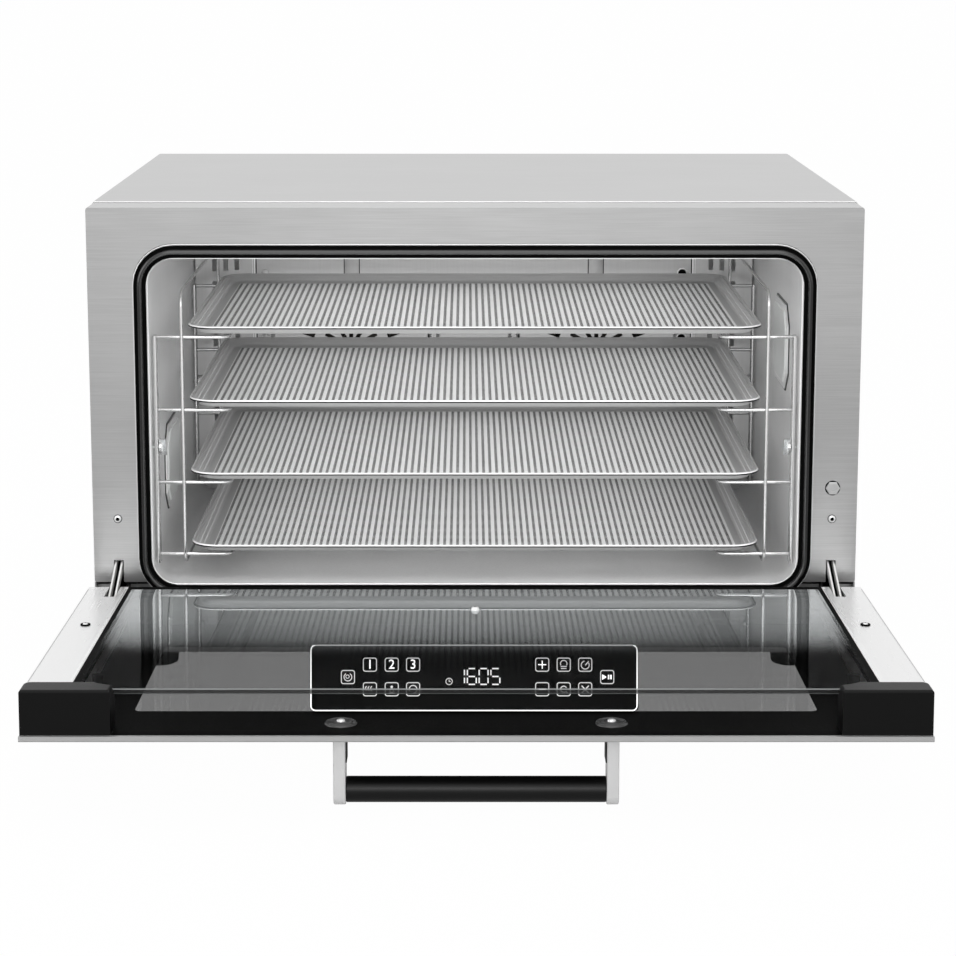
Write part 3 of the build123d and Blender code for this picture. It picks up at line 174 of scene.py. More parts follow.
floor = bpy.data.objects.new("floor", bpy.data.meshes.new("floor"))
bm.to_mesh(floor.data)
bm.free()
floor.data.materials.append(floorMat)
scene.collection.objects.link(floor)

lamps = {
    "overheadSoftbox": {"place": (0, -0.9, 2.6), "aim": (0, -0.1, 0.3), "size": (2.6, 1.8), "watts": 20},
    "frontSoftbox": {"place": (0, -3.4, 1.3), "aim": (0, 0, 0.3), "size": (1.1, 1.0), "watts": 16},
    "leftSoftbox": {"place": (-2.6, -0.6, 1.1), "aim": (0, 0, 0.25), "size": (1.4, 1.6), "watts": 10},
    # stands in the oven's mouth and lights only what is inside
    "cavityFill": {"place": (0, -0.115, 0.28), "aim": (0, 0.4, 0.28), "size": (0.64, 0.32), "watts": 0.6},
}
# a low light over each tray and over the oven's floor, given by its height and its watts
shelfFill = {
    "behind": 0.11,
    "size": (0.5, 0.32),
    "levels": ((0.436, 0.4), (0.359, 0.34), (0.2815, 0.34), (0.204, 0.32), (0.1265, 0.04)),
}
y = shelfFill["behind"]
for number, (level, watts) in enumerate(shelfFill["levels"]):
    fill = {"place": (0, y, level), "aim": (0, y, 0), "size": shelfFill["size"], "watts": watts}
    lamps[f"shelfFill{number}"] = fill
for name, lamp in lamps.items():
    data = bpy.data.lights.new(name, "AREA")
    data.shape = "RECTANGLE"
    data.size, data.size_y = lamp["size"]
    data.energy = lamp["watts"]
    light = bpy.data.objects.new(name, data)
    light.location = lamp["place"]
    light.rotation_euler = (Vector(lamp["aim"]) - Vector(lamp["place"])).to_track_quat("-Z", "Y").to_euler()
    light.visible_camera = False
    light.visible_glossy = not name.startswith("shelfFill")  # or the door glass would mirror them
    scene.collection.objects.link(light)
print("camera and studio made")

# Brushed and rolled metals: grain drawn as noise stretched along the brushing direction
# Each has its colour, metallic share, roughness, grain size in mm, and the grain's contrast and height
metals = {
    # stainless steel, brushed crosswise on a belt: soft grey with fine level lines
    "brushedStainlessFront": ("#bcbcbc", 1, 0.34, (70, 1.3, 1.1), 0.22, 0.14),
    # the same sheet on the wrap, lighter because its grain lies flat to the eye
    "brushedStainlessWrap": ("#bababa", 1, 0.36, (120, 1.6, 1.6), 0.06, 0.06),
    # bright annealed liner sheet: smoother, with long upright rolling streaks; painted highlight on baffle
    # edges
    "brightAnnealedLiner": ("#f4f4f4", 0.5, 0.36, (2.2, 2.2, 160), 0.12, 0.05),
    # the baffle in front of the fans, rolled the same way but duller from its heat treatment
    "satinBaffleSteel": ("#bdbdbd", 0.7, 0.36, (3, 3, 120), 0.10, 0.05),
    # satin rail steel beside the door glass: nearly white
    "satinRailSteel": ("#ececec", 1, 0.3, (1.4, 60, 1.4), 0.04, 0.04),
    # zinc-plated hinge parts: bright and slightly cloudy
    "zincPlatedSteel": ("#f4f4f2", 0.35, 0.22, (4, 4, 4), 0.10, 0.03),
    # electropolished rack wire: mirror-bright drawn wire
    "polishedWire": ("#c0c0c0", 0.9, 0.18, (2, 2, 2), 0.05, 0.02),
    # pressed aluminium trays: pale, fine matt grain from rolling
    "pressedAluminium": ("#ececec", 0.3, 0.42, (1.2, 30, 1.2), 0.06, 0.04),
    # the same sheet on the trays' walls and margins, drawn darker as painted shade
    "dulledAluminium": ("#b0b0b0", 0.4, 0.4, (1.2, 30, 1.2), 0.08, 0.04),
    # satin anodised aluminium of the handle brackets: pale and even
    "anodisedAluminium": ("#f8f8f8", 0.4, 0.38, (1.2, 1.2, 1.2), 0.04, 0.03),
    # duller anodised profile along the door's upper edge
    "anodisedTrim": ("#c6c6c6", 0.7, 0.42, (30, 1.2, 1.2), 0.04, 0.03),
    # polished screw heads, and edges, beads and tray rims drawn whiter as painted highlight in thin bright
    # lines
    "polishedBead": ("#fbfbfb", 0.3, 0.2, (2, 2, 2), 0.03, 0.01),
    # fan steel drawn dark grey as painted shade behind the grille, so that the grille bars stand out in front
    # of it
    "stampedFanSteel": ("#3c3a38", 1, 0.32, (3, 3, 3), 0.12, 0.05),
    # cast aluminium motor bodies: grey and rough
    "castAluminium": ("#8e9092", 1, 0.55, (1.6, 1.6, 1.6), 0.25, 0.35),
    # nickel-plated screw heads: small, hard highlights
    "platedScrews": ("#dcdcdc", 1, 0.2, (1, 1, 1), 0.08, 0.03),
}
grainRule = {
    "cloudScale": 9,
    "cloudShare": 0.25,  # of the slow clouds over the fine grain
    "noiseSpan": (0.3, 0.7),
    "glossSpread": 0.15,
    "depth": 0.2,
}


def metalMaterial(name, colour, metal, rough, grainSize, contrast, height):
    tree, surface = newMaterial(name, Metallic=metal)
    coords = addNode(tree, "TexCoord").outputs["Object"]
    scale = [1 / (size * mm) for size in grainSize]
    stretched = addNode(tree, "Mapping", {"vector_type": "POINT"}, {"Scale": scale}, {"Vector": coords})
    fine = {"Scale": 1, "Detail": 3, "Roughness": 0.6}
    grain = addNode(tree, "TexNoise", inputs=fine, links={"Vector": stretched.outputs[0]}).outputs["Fac"]
    slow = {"Scale": grainRule["cloudScale"], "Detail": 2}
    cloud = addNode(tree, "TexNoise", inputs=slow, links={"Vector": coords}).outputs["Fac"]
    mixed = {"Factor": grainRule["cloudShare"]}
    blend = addNode(tree, "Mix", {"data_type": "FLOAT"}, mixed, {"A": grain, "B": cloud}).outputs[0]
    base = Vector(hexLinear(colour)[:3])
    ends = {"A": (*base * (1 - contrast), 1), "B": (*[min(c, 1) for c in base * (1 + contrast)], 1)}
    tone = addNode(tree, "Mix", {"data_type": "RGBA"}, ends, {"Factor": blend})
    low, high = grainRule["noiseSpan"]
    spread = grainRule["glossSpread"]
    span = {"From Min": low, "From Max": high, "To Min": rough * (1 - spread), "To Max": rough * (1 + spread)}
    gloss = addNode(tree, "MapRange", inputs=span, links={"Value": blend})
    relief = {"Strength": height, "Distance": grainRule["depth"] * mm}
    bump = addNode(tree, "Bump", inputs=relief, links={"Height": grain})
    drive(tree, surface, Base_Color=tone.outputs[2], Roughness=gloss.outputs[0], Normal=bump.outputs[0])


# Moulded and extruded plastics and rubbers
# Each has its colour, specular level, roughness, the grain's pitch in mm and its height
plastics = {
    # glass-filled nylon corner caps: deep black, fine spark-eroded grain; also the brackets' painted shade
    # strips
    "blackNylon": ("#090909", 0.16, 0.42, 0.9, 0.35),
    # handle grip: black thermoplastic, satin
    "satinBlackGrip": ("#0f0f0f", 0.3, 0.36, 1.2, 0.12),
    # silicone door gasket: black, slightly waxy
    "blackSilicone": ("#060606", 0.8, 0.24, 2.0, 0.10),
    # moulded rubber feet: dull dark grey
    "footRubber": ("#1c1c1c", 0.3, 0.7, 1.5, 0.3),
    # ceramic frit baked on the glass: dead black and nearly matt
    "blackEnamel": ("#040404", 0.03, 0.6, 1.5, 0.05),
    # glass seal strip beside the rails: soot black, takes hardly any light; also painted shade in sockets and
    # grooves
    "blackSealStrip": ("#040404", 0.04, 0.7, 1.5, 0.05),
    # painted shade: black for the walls of the tray holes and for the wall under the rim's bead
    "punchedEdge": ("#0c0c0c", 0.05, 0.7, 1.0, 0.05),
    # lower channel of the door in black paint, half gloss; on the hinge boxes it is painted shade in the
    # slots
    "blackPaintedSteel": ("#101010", 0.3, 0.35, 2.5, 0.12),
    # terminal block: off-white polyamide
    "terminalPolyamide": ("#d9d5c8", 0.4, 0.5, 1.0, 0.1),
}
plasticRule = {"glossSpread": 0.2, "depth": 0.1}


def plasticMaterial(name, colour, sheen, rough, pitch, height):
    tree, surface = newMaterial(name, Base_Color=colour, Specular_IOR_Level=sheen)
    coords = addNode(tree, "TexCoord").outputs["Object"]
    fine = {"Scale": 1 / (pitch * mm), "Detail": 2}
    grain = addNode(tree, "TexNoise", inputs=fine, links={"Vector": coords}).outputs["Fac"]
    spread = plasticRule["glossSpread"]
    span = {"To Min": rough * (1 - spread), "To Max": rough * (1 + spread)}
    gloss = addNode(tree, "MapRange", inputs=span, links={"Value": grain})
    relief = {"Strength": height, "Distance": plasticRule["depth"] * mm}
    bump = addNode(tree, "Bump", inputs=relief, links={"Height": grain})
    drive(tree, surface, Roughness=gloss.outputs[0], Normal=bump.outputs[0])


# Door glass: tempered panes, the outer one tinted; thin glass, so what it hides is its alpha
# Each has its colour, alpha, roughness, mirror share and specular level
glasses = {
    # grey-tinted outer pane: shows the floor dimly
    "tintedTemperedGlass": ("#0b0c0d", 0.585, 0.02, 0, 0.06),
    # inner pane with a heat-reflecting coat: half a mirror where it lies over the black enamel
    "coatedTemperedGlass": ("#d6dadb", 0.8, 0.03, 0.7, 0.2),
    # ground edges of the panes: matt and dark
    "groundGlassEdge": ("#1a1b1b", 0.85, 0.4, 0, 0.3),
    # polished arrises of the panes, drawn lighter than the glass as painted highlight
    "polishedArris": ("#7b7e7e", 0.8, 0.3, 0, 0.6),
    # ground lamp cover: milky
    "lampGlass": ("#f0f2f1", 0.8, 0.3, 0, 0.5),
    # quartz capsule of the bulbs: clear and warm
    "capsuleGlass": ("#f3efe4", 0.7, 0.08, 0, 0.5),
}
coat = {
    "farColour": "#141515",
    "farAlpha": 0.05,
    "fade": (0.26, 0.07),  # metres in front of the hinge where it ends and where it is full
    "tintSpan": 0.15,  # of alpha over which its colour comes in
}
glassWave = {"pitch": 140, "height": 0.04, "depth": 0.5, "ior": 1.52}


def glassMaterial(name, colour, alpha, rough, mirror, sheen):
    tree, surface = newMaterial(
        name,
        Base_Color=colour,
        Alpha=alpha,
        Roughness=rough,
        Metallic=mirror,
        Specular_IOR_Level=sheen,
        IOR=glassWave["ior"],
    )
    coords = addNode(tree, "TexCoord").outputs["Object"]
    slow = {"Scale": 1 / (glassWave["pitch"] * mm), "Detail": 1}
    wave = addNode(tree, "TexNoise", inputs=slow, links={"Vector": coords})
    relief = {"Strength": glassWave["height"], "Distance": glassWave["depth"] * mm}
    bump = addNode(tree, "Bump", inputs=relief, links={"Height": wave.outputs["Fac"]})
    drive(tree, surface, Normal=bump.outputs[0])
    if not mirror:
        return
    # painted reflection: the coat fades out from the hinge towards the handle, in alpha and in colour
    apart = addNode(tree, "SeparateXYZ", links={"Vector": coords})
    end, full = [hinge.y - away for away in coat["fade"]]
    thin = coat["farAlpha"]
    span = {"From Min": end, "From Max": full, "To Min": thin, "To Max": alpha}
    smooth = {"interpolation_type": "SMOOTHSTEP"}
    paintedReflectionFade = addNode(tree, "MapRange", smooth, span, {"Value": apart.outputs["Y"]}).outputs[0]
    span = {"From Min": thin, "From Max": thin + coat["tintSpan"]}
    share = addNode(tree, "MapRange", inputs=span, links={"Value": paintedReflectionFade})
    ends = {"A": hexLinear(coat["farColour"]), "B": hexLinear(colour)}
    tint = addNode(tree, "Mix", {"data_type": "RGBA"}, ends, {"Factor": share.outputs[0]})
    drive(tree, surface, Alpha=paintedReflectionFade, Base_Color=tint.outputs[2])


for make, looks in ((metalMaterial, metals), (plasticMaterial, plastics), (glassMaterial, glasses)):
    for name, look in looks.items():
        make(name, *look)

# Galvanised sheet: zinc spangle in pale grey cells
spangle = {"size": 14, "tone": (0.42, 0.62), "rough": (0.32, 0.52)}
tree, surface = newMaterial("galvanisedSheet", Metallic=1.0)
coords = addNode(tree, "TexCoord").outputs["Object"]
cells = addNode(tree, "TexVoronoi", inputs={"Scale": 1 / (spangle["size"] * mm)}, links={"Vector": coords})
for socket, (low, high) in (("Base_Color", spangle["tone"]), ("Roughness", spangle["rough"])):
    span = {"To Min": low, "To Max": high}
    shade = addNode(tree, "MapRange", inputs=span, links={"Value": cells.outputs["Color"]})
    drive(tree, surface, **{socket: shade.outputs[0]})

# Mineral wool: matted fibre, grey-brown stone wool
wool = {"fibre": 3, "twist": 1.5, "dark": "#2c2b29", "pale": "#57554f", "height": 0.8, "depth": 1}
tree, surface = newMaterial("mineralWool", Roughness=0.95)
coords = addNode(tree, "TexCoord").outputs["Object"]
matted = {"Scale": 1 / (wool["fibre"] * mm), "Detail": 6, "Distortion": wool["twist"]}
fibre = addNode(tree, "TexNoise", inputs=matted, links={"Vector": coords}).outputs["Fac"]
ends = {"A": hexLinear(wool["dark"]), "B": hexLinear(wool["pale"])}
tone = addNode(tree, "Mix", {"data_type": "RGBA"}, ends, {"Factor": fibre})
relief = {"Strength": wool["height"], "Distance": wool["depth"] * mm}
bump = addNode(tree, "Bump", inputs=relief, links={"Height": fibre})
drive(tree, surface, Base_Color=tone.outputs[2], Normal=bump.outputs[0])

# Heater tube: oxidised alloy sheath, dark with a bluish bloom
sheath = {"bloom": 18, "dark": "#2b2a2a", "pale": "#5a5a60"}
tree, surface = newMaterial("oxidisedSheath", Metallic=0.8, Roughness=0.5)
coords = addNode(tree, "TexCoord").outputs["Object"]
bloom = addNode(tree, "TexNoise", inputs={"Scale": 1 / (sheath["bloom"] * mm)}, links={"Vector": coords})
ends = {"A": hexLinear(sheath["dark"]), "B": hexLinear(sheath["pale"])}
tone = addNode(tree, "Mix", {"data_type": "RGBA"}, ends, {"Factor": bloom.outputs["Fac"]})
drive(tree, surface, Base_Color=tone.outputs[2])

# Epoxy board: green solder mask over a faint copper pattern
board = {"track": 12, "mask": "#1d5a38", "darkMask": "#184d30", "copper": "#3c7d4c"}
tree, surface = newMaterial("solderMaskedBoard", Roughness=0.35)
coords = addNode(tree, "TexCoord").outputs["Object"]
inks = {"Scale": 1 / (board["track"] * mm), "Color1": hexLinear(board["mask"])}
inks.update({"Color2": hexLinear(board["darkMask"]), "Mortar": hexLinear(board["copper"])})
tracks = addNode(tree, "TexBrick", inputs=inks, links={"Vector": coords})
drive(tree, surface, Base_Color=tracks.outputs["Color"])

# Glossy black acrylic of the control panel
newMaterial("blackAcrylic", Base_Color="#030303", Roughness=0.35, Specular_IOR_Level=0.02)
# Printing inks, lit from behind: colour, light and its strength
inks = {
    # lit segments of the display: even grey-white
    "displayWhite": ("#c8c8c8", "#ffffff", 0.62),
    # white ink of the numbers and of the panel's outline: the brightest
    "printedWhite": ("#f0f0f0", "#ffffff", 1.1),
    # screen-printed key outlines and signs: a little greyer
    "keyOutlineInk": ("#b8b8b8", "#d0d0d0", 0.75),
}
for name, (colour, light, strength) in inks.items():
    newMaterial(name, Base_Color=colour, Roughness=0.5, Emission_Color=light, Emission_Strength=strength)

# Which finish each node of the frame takes
nodeFinish = {
    "brushedStainlessWrap": "outer_shell",
    "brushedStainlessFront": "front_frame lower_fascia",
    "brightAnnealedLiner": "oven_liner steam_outlet lamp_housings",
    "satinBaffleSteel": "fan_baffle",
    "galvanisedSheet": "back_panel base_plate",
    "footRubber": "feet",
    "mineralWool": "insulation",
    "blackSilicone": "door_gasket handle_washers lamp_seals",
    "anodisedTrim": "door_top_trim hex_plug",
    "platedScrews": "rack_screws frame_screws rail_screws glass_button handle_screws temperature_probe",
    "lampGlass": "lamp_glasses",
    "capsuleGlass": "lamp_bulbs",
    "stampedFanSteel": "left_fan_wheel right_fan_wheel",
    "castAluminium": "left_fan_motor right_fan_motor",
    "oxidisedSheath": "left_ring_heater right_ring_heater",
    "polishedWire": "left_rack right_rack",
    "pressedAluminium": "tray_1 tray_2 tray_3 tray_4",
    "blackNylon": "left_corner_cap right_corner_cap cable_gland",
    "blackSealStrip": "inner_glass_seal glass_spacers",
    "solderMaskedBoard": "power_board",
    "terminalPolyamide": "terminal_block",
    "zincPlatedSteel": "left_stay_arm right_stay_arm hinge_pins stay_pins",
    "tintedTemperedGlass": "outer_glass",
    "coatedTemperedGlass": "inner_glass",
    "anodisedAluminium": "handle_brackets",
    # the hinge boxes are drawn black as the painted shade in the slots round the stay arms
    "blackPaintedSteel": "door_bottom_channel left_hinge_box right_hinge_box",
    "satinRailSteel": "left_door_rail right_door_rail",
    "blackAcrylic": "control_panel",
    "satinBlackGrip": "handle_grip",
}
undressed = set(cad)
for name, members in nodeFinish.items():
    for member in members.split():
        cad[member].data.materials.clear()
        cad[member].data.materials.append(finish[name])
        undressed.discard(member)
print("finishes given; nodes without one:", sorted(undressed))


def addPiece(name, bm, looks, body, replaced=None, smooth=None):
    # edges sharper than smooth, in degrees, stay hard
    mesh = bpy.data.meshes.new(name)
    bm.to_mesh(mesh)
    bm.free()
    if smooth is not None:
        mesh.shade_smooth()
        mesh.set_sharp_from_angle(angle=math.radians(smooth))
    for look in looks.split():
        mesh.materials.append(finish[look])
    piece = bpy.data.objects.new(name, mesh)
    scene.collection.objects.link(piece)
    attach(piece, body)
    if replaced:
        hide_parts(replaced)
    return mesh


def outward(bm):
    bmesh.ops.recalc_face_normals(bm, faces=bm.faces)
    return bm


def ease(bm, geom, offset, segments, affect="EDGES", clamp=False):
    bmesh.ops.bevel(
        bm,
        geom=geom,
        offset=offset,
        offset_type="OFFSET",
        affect=affect,
        segments=segments,
        profile=0.5,
        material=-1,
        clamp_overlap=clamp,
    )


def pullOut(bm, grown, shift):
    # moves what an extrusion has just made
    moved = [g for g in grown["geom"] if isinstance(g, bmesh.types.BMVert)]
    bmesh.ops.translate(bm, verts=moved, vec=shift)


def openFaces(bm, faces):
    bmesh.ops.delete(bm, geom=faces, context="FACES_ONLY")


def fillBetween(bm, edges):
    bmesh.ops.triangle_fill(bm, use_beauty=True, use_dissolve=False, edges=edges)


def insetFaces(bm, faces, thickness, depth=0):
    bmesh.ops.inset_region(
        bm, faces=faces, thickness=thickness, depth=depth, use_boundary=True, use_even_offset=True
    )


def flatPlate(bm, width, length):
    verts = bmesh.ops.create_grid(bm, x_segments=1, y_segments=1, size=0.5)["verts"]
    bmesh.ops.scale(bm, vec=(width, length, 1), verts=verts)
    return verts


def roundedPlate(bm, width, length, corner, segments):
    flatPlate(bm, width, length)
    ease(bm, bm.verts[:], corner, segments, "VERTICES")
    return bm.faces[:]


def easedStrip(width, tall, thick, edge):
    bm = bmesh.new()
    bmesh.ops.create_cube(bm, size=1)
    bmesh.ops.scale(bm, vec=(width, tall, thick), verts=bm.verts)
    ease(bm, bm.edges[:], edge, 2)
    return bm


def lathe(profile, segments=28):
    # turns a profile of (radius, height) in mm round z
    bm = bmesh.new()
    verts = [bm.verts.new((radius, 0, height)) for radius, height in profile]
    line = verts + [bm.edges.new(pair) for pair in zip(verts, verts[1:])]
    full = 2 * math.pi
    bmesh.ops.spin(bm, geom=line, cent=(0, 0, 0), axis=(0, 0, 1), angle=full, steps=segments, use_merge=True)
    bmesh.ops.remove_doubles(bm, verts=bm.verts, dist=1e-4)
    return outward(bm)


def pourInto(bm, part):
    mesh = bpy.data.meshes.new("part")
    part.to_mesh(mesh)
    part.free()
    bm.from_mesh(mesh)
    bpy.data.meshes.remove(mesh)


def joinInto(bm, part, matrix):
    # adds a part drawn in mm to a mesh in metres
    bmesh.ops.transform(part, matrix=matrix @ Matrix.Scale(mm, 4), verts=part.verts)
    pourInto(bm, part)


def axesAt(origin, across, along, up):
    matrix = Matrix((across, along, up)).transposed().to_4x4()
    matrix.translation = origin
    return matrix


def onFront(x, z, behind=0):
    # a place in mm on the oven's face or behind it, its z axis pointing at the viewer
    return axesAt(Vector((x * mm, frontY + behind * mm, z * mm)), rightward, upward, -backward)


def onDoor(x, reach, out):
    # a place in mm on the open door, its z axis pointing up from the inner side
    return axesAt(doorPoint(x * mm, reach * mm, out * mm), -rightward, alongDoor, -outOfDoor)


def underDoor(x, reach, out):
    # a place in mm on the outer side of the open door, its z axis pointing down from it
    return axesAt(doorPoint(x * mm, reach * mm, out * mm), rightward, alongDoor, outOfDoor)


# Trays: pressed perforated pans with a rolled rim, one mesh shared out to the four levels
tray = {
    "size": (600, 400),
    "corner": 28,
    "sheet": 1.0,
    "proud": 0.5,  # rim top above the part's own
    "lip": 1.4,
    "holeGrid": (80, 66),
    "holePitch": (6.95, 5.2),
    "hole": (0.86, 1.95),
    # inset and rise of each line from the rim's edge to the floor: the rolled bead, then the wall's steps
    "bead": ((0.5, 0.7), (0.7, 0.5), (0.9, 0), (0.7, -0.5), (0.4, -0.7), (1.6, 0)),
    "wall": ((2.6, -2.94), (0.9, -0.05), (2.8, -2.94), (0.9, -0.05), (2.2, -1.12), (1.8, 0)),
    "polished": (1.3, 1.5),  # the bead takes the painted highlight this far in and this far down
    "paintedShadeTo": 3.3,  # the wall under the bead is painted dark as shade this far in
    "ledges": ((7.3, 8.4), (11, 12.1)),  # insets between which the wall's upward ledges take the painted highlight
    "looks": "pressedAluminium punchedEdge dulledAluminium polishedBead",
}


def perforatedField():
    # one cell with its hole, repeated over the floor
    pitchX, pitchY = tray["holePitch"]
    holeX, holeY = tray["hole"]
    countX, countY = tray["holeGrid"]
    bm = bmesh.new()
    flatPlate(bm, pitchX, pitchY)
    longEdges = [e for e in bm.edges if abs(e.verts[0].co.y - e.verts[1].co.y) < 1e-6]
    bmesh.ops.subdivide_edges(bm, edges=longEdges, cuts=1)
    plate = bm.faces[:]
    insetFaces(bm, plate, 1)
    for vert in plate[0].verts:
        turn = math.atan2(vert.co.y / holeY, vert.co.x / holeX)
        vert.co.x, vert.co.y = holeX * math.cos(turn), holeY * math.sin(turn)
    openFaces(bm, plate)
    cell = bpy.data.meshes.new("cell")
    bm.to_mesh(cell)
    bm.free()
    holder = bpy.data.objects.new("cell", cell)
    scene.collection.objects.link(holder)
    for count, offset in ((countX, (1, 0, 0)), (countY, (0, 1, 0))):
        row = holder.modifiers.new("row", "ARRAY")
        row.count = count
        row.relative_offset_displace = offset
        row.use_merge_vertices = True
        row.merge_threshold = 0.01
    graph = bpy.context.evaluated_depsgraph_get()
    field = bpy.data.meshes.new_from_object(holder.evaluated_get(graph))
    bpy.data.objects.remove(holder)
    bm = bmesh.new()
    bm.from_mesh(field)
    start = (-pitchX * (countX - 1) / 2, -pitchY * (countY - 1) / 2, 0)
    bmesh.ops.translate(bm, verts=bm.verts, vec=start)
    return bm


def insetFromRim(spot):
    width, length = tray["size"]
    corner = tray["corner"]
    beyondX, beyondY = abs(spot.x) - width / 2 + corner, abs(spot.y) - length / 2 + corner
    if beyondX > 0 and beyondY > 0:
        return corner - math.hypot(beyondX, beyondY)
    return min(width / 2 - abs(spot.x), length / 2 - abs(spot.y))


def trayMesh():
    bm = perforatedField()
    halfX, halfY = [count * pitch / 2 - 0.01 for count, pitch in zip(tray["holeGrid"], tray["holePitch"])]
    rim = [e for e in bm.edges if e.is_boundary]
    fieldRim = [e for e in rim if all(abs(v.co.x) > halfX or abs(v.co.y) > halfY for v in e.verts)]
    fieldFaces = set(bm.faces)
    pan = bmesh.new()
    floorFace = roundedPlate(pan, *tray["size"], tray["corner"], 7)
    for inset, rise in tray["bead"] + tray["wall"]:
        insetFaces(pan, floorFace, inset, rise)
    bmesh.ops.translate(pan, verts=pan.verts, vec=(0, 0, -floorFace[0].verts[0].co.z))
    rim = [e for e in pan.edges if e.is_boundary]
    openFaces(pan, floorFace)
    pullOut(pan, bmesh.ops.extrude_edge_only(pan, edges=rim), (0, 0, -tray["lip"]))
    pourInto(bm, pan)
    rim = [e for e in bm.edges if e.is_boundary and abs(e.verts[0].co.z) < 1e-4 and e not in fieldRim]
    fillBetween(bm, fieldRim + [e for e in rim if not fieldFaces & set(e.link_faces)])
    outward(bm)
    if sum(f.normal.z * f.calc_area() for f in bm.faces) < 0:
        bmesh.ops.reverse_faces(bm, faces=bm.faces)
    bmesh.ops.solidify(bm, geom=bm.faces[:], thickness=tray["sheet"])
    high = max(v.co.z for v in bm.verts)
    shineIn, shineDown = tray["polished"]
    for face in bm.faces:
        centre = face.calc_center_median()
        inset = insetFromRim(centre)
        inField = abs(centre.x) < halfX and abs(centre.y) < halfY
        punched = inField and abs(face.normal.z) < 0.5
        onBead = inset < shineIn and centre.z > high - shineDown
        onLedge = face.normal.z > 0.9 and any(start < inset < end for start, end in tray["ledges"])
        # hole walls and the wall under the bead take the black of painted shade
        if punched or (inset < tray["paintedShadeTo"] and centre.z < high - shineDown):
            face.material_index = 1
        # off the floor the sheet is drawn darker as painted shade, the bead and upward ledges whiter as
        # painted highlight
        elif not inField:
            face.material_index = 3 if onBead or onLedge else 2
    bmesh.ops.translate(bm, verts=bm.verts, vec=(0, 0, -high))
    bmesh.ops.scale(bm, vec=(mm, mm, mm), verts=bm.verts)
    return bm


pan = trayMesh()
for number in range(1, 5):
    node = f"tray_{number}"
    low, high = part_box(node)
    spot = Vector(((low.x + high.x) / 2, (low.y + high.y) / 2, high.z + tray["proud"] * mm))
    placed = pan.copy()
    bmesh.ops.translate(placed, verts=placed.verts, vec=spot)
    mesh = addPiece("perforated_" + node, placed, tray["looks"], node, node, 22)
print("trays:", len(mesh.polygons), "faces each, box", [round(c, 4) for c in (high - low)])
pan.free()

# Wire racks, bent from round wire: loop, guide wires and wall posts
rack = {
    "frameWire": 1.75,
    "frameHalf": 306,
    "frameTop": 408,
    "frameBottom": 118,
    "frameBend": 16,
    "guideWire": 2.0,
    "guideHalf": 257,
    "guideLevels": (360.0, 282.5, 205.0, 127.5),
    "guideBend": 9,
    "postHalf": 334,
    "postSpread": 4,
    "postTop": 361.7,
    "postBottom": 118.7,
    "front": 24,
    "back": 404,
    "postInset": 3.75,  # the wall posts stand this far inside the loop's ends
}


def bentWire(points, radius, bend, closed=False):
    # points in mm, y measured behind the front face; corners rounded with a quarter-turn arc
    spots = [Vector(p) for p in points]
    count = len(spots)
    path = []
    for i, spot in enumerate(spots):
        if not closed and i in (0, count - 1):
            path.append(spot)
            continue
        before = (spots[i - 1] - spot).normalized()
        after = (spots[(i + 1) % count] - spot).normalized()
        centre = spot + (before + after) * bend
        steps = 6
        for step in range(steps + 1):
            turn = math.pi / 2 * step / steps
            path.append(centre - after * bend * math.cos(turn) - before * bend * math.sin(turn))
    curve = bpy.data.curves.new("wire", "CURVE")
    curve.dimensions = "3D"
    curve.bevel_depth = radius * mm
    curve.bevel_resolution = 2
    curve.use_fill_caps = True
    spline = curve.splines.new("POLY")
    spline.points.add(len(path) - 1)
    for point, spot in zip(spline.points, path):
        point.co = (spot.x * mm, frontY + spot.y * mm, spot.z * mm, 1)
    spline.use_cyclic_u = closed
    holder = bpy.data.objects.new("wire", curve)
    mesh = bpy.data.meshes.new_from_object(holder)
    bpy.data.objects.remove(holder)
    return mesh


def wireShell(*wires):
    bm = bmesh.new()
    for wire in wires:
        bm.from_mesh(wire)
    bmesh.ops.remove_doubles(bm, verts=bm.verts, dist=1e-6)  # welds the end caps on
    return outward(bm)


for side, sign in sides.items():
    x, near, far = sign * rack["frameHalf"], rack["front"], rack["back"]
    low, high = rack["frameBottom"], rack["frameTop"]
    loop = [(x, near, low), (x, near, high), (x, far, high), (x, far, low)]
    wires = [bentWire(loop, rack["frameWire"], rack["frameBend"], closed=True)]
    near, far = near + rack["postInset"], far - rack["postInset"]
    wall, tip = sign * rack["postHalf"], sign * rack["guideHalf"]
    for level in rack["guideLevels"]:
        guide = [(wall, near, level), (tip, near, level), (tip, far, level), (wall, far, level)]
        wires.append(bentWire(guide, rack["guideWire"], rack["guideBend"]))
    for y in (near, far):
        for step in (-rack["postSpread"], rack["postSpread"]):
            post = [(wall, y + step, rack["postBottom"]), (wall, y + step, rack["postTop"])]
            wires.append(bentWire(post, rack["guideWire"], 0))
    name = f"{side}_wire_rack"
    mesh = addPiece(name, wireShell(*wires), "polishedWire", "cabinet", f"{side}_rack", 50)
print("racks bent:", len(mesh.polygons), "faces each")

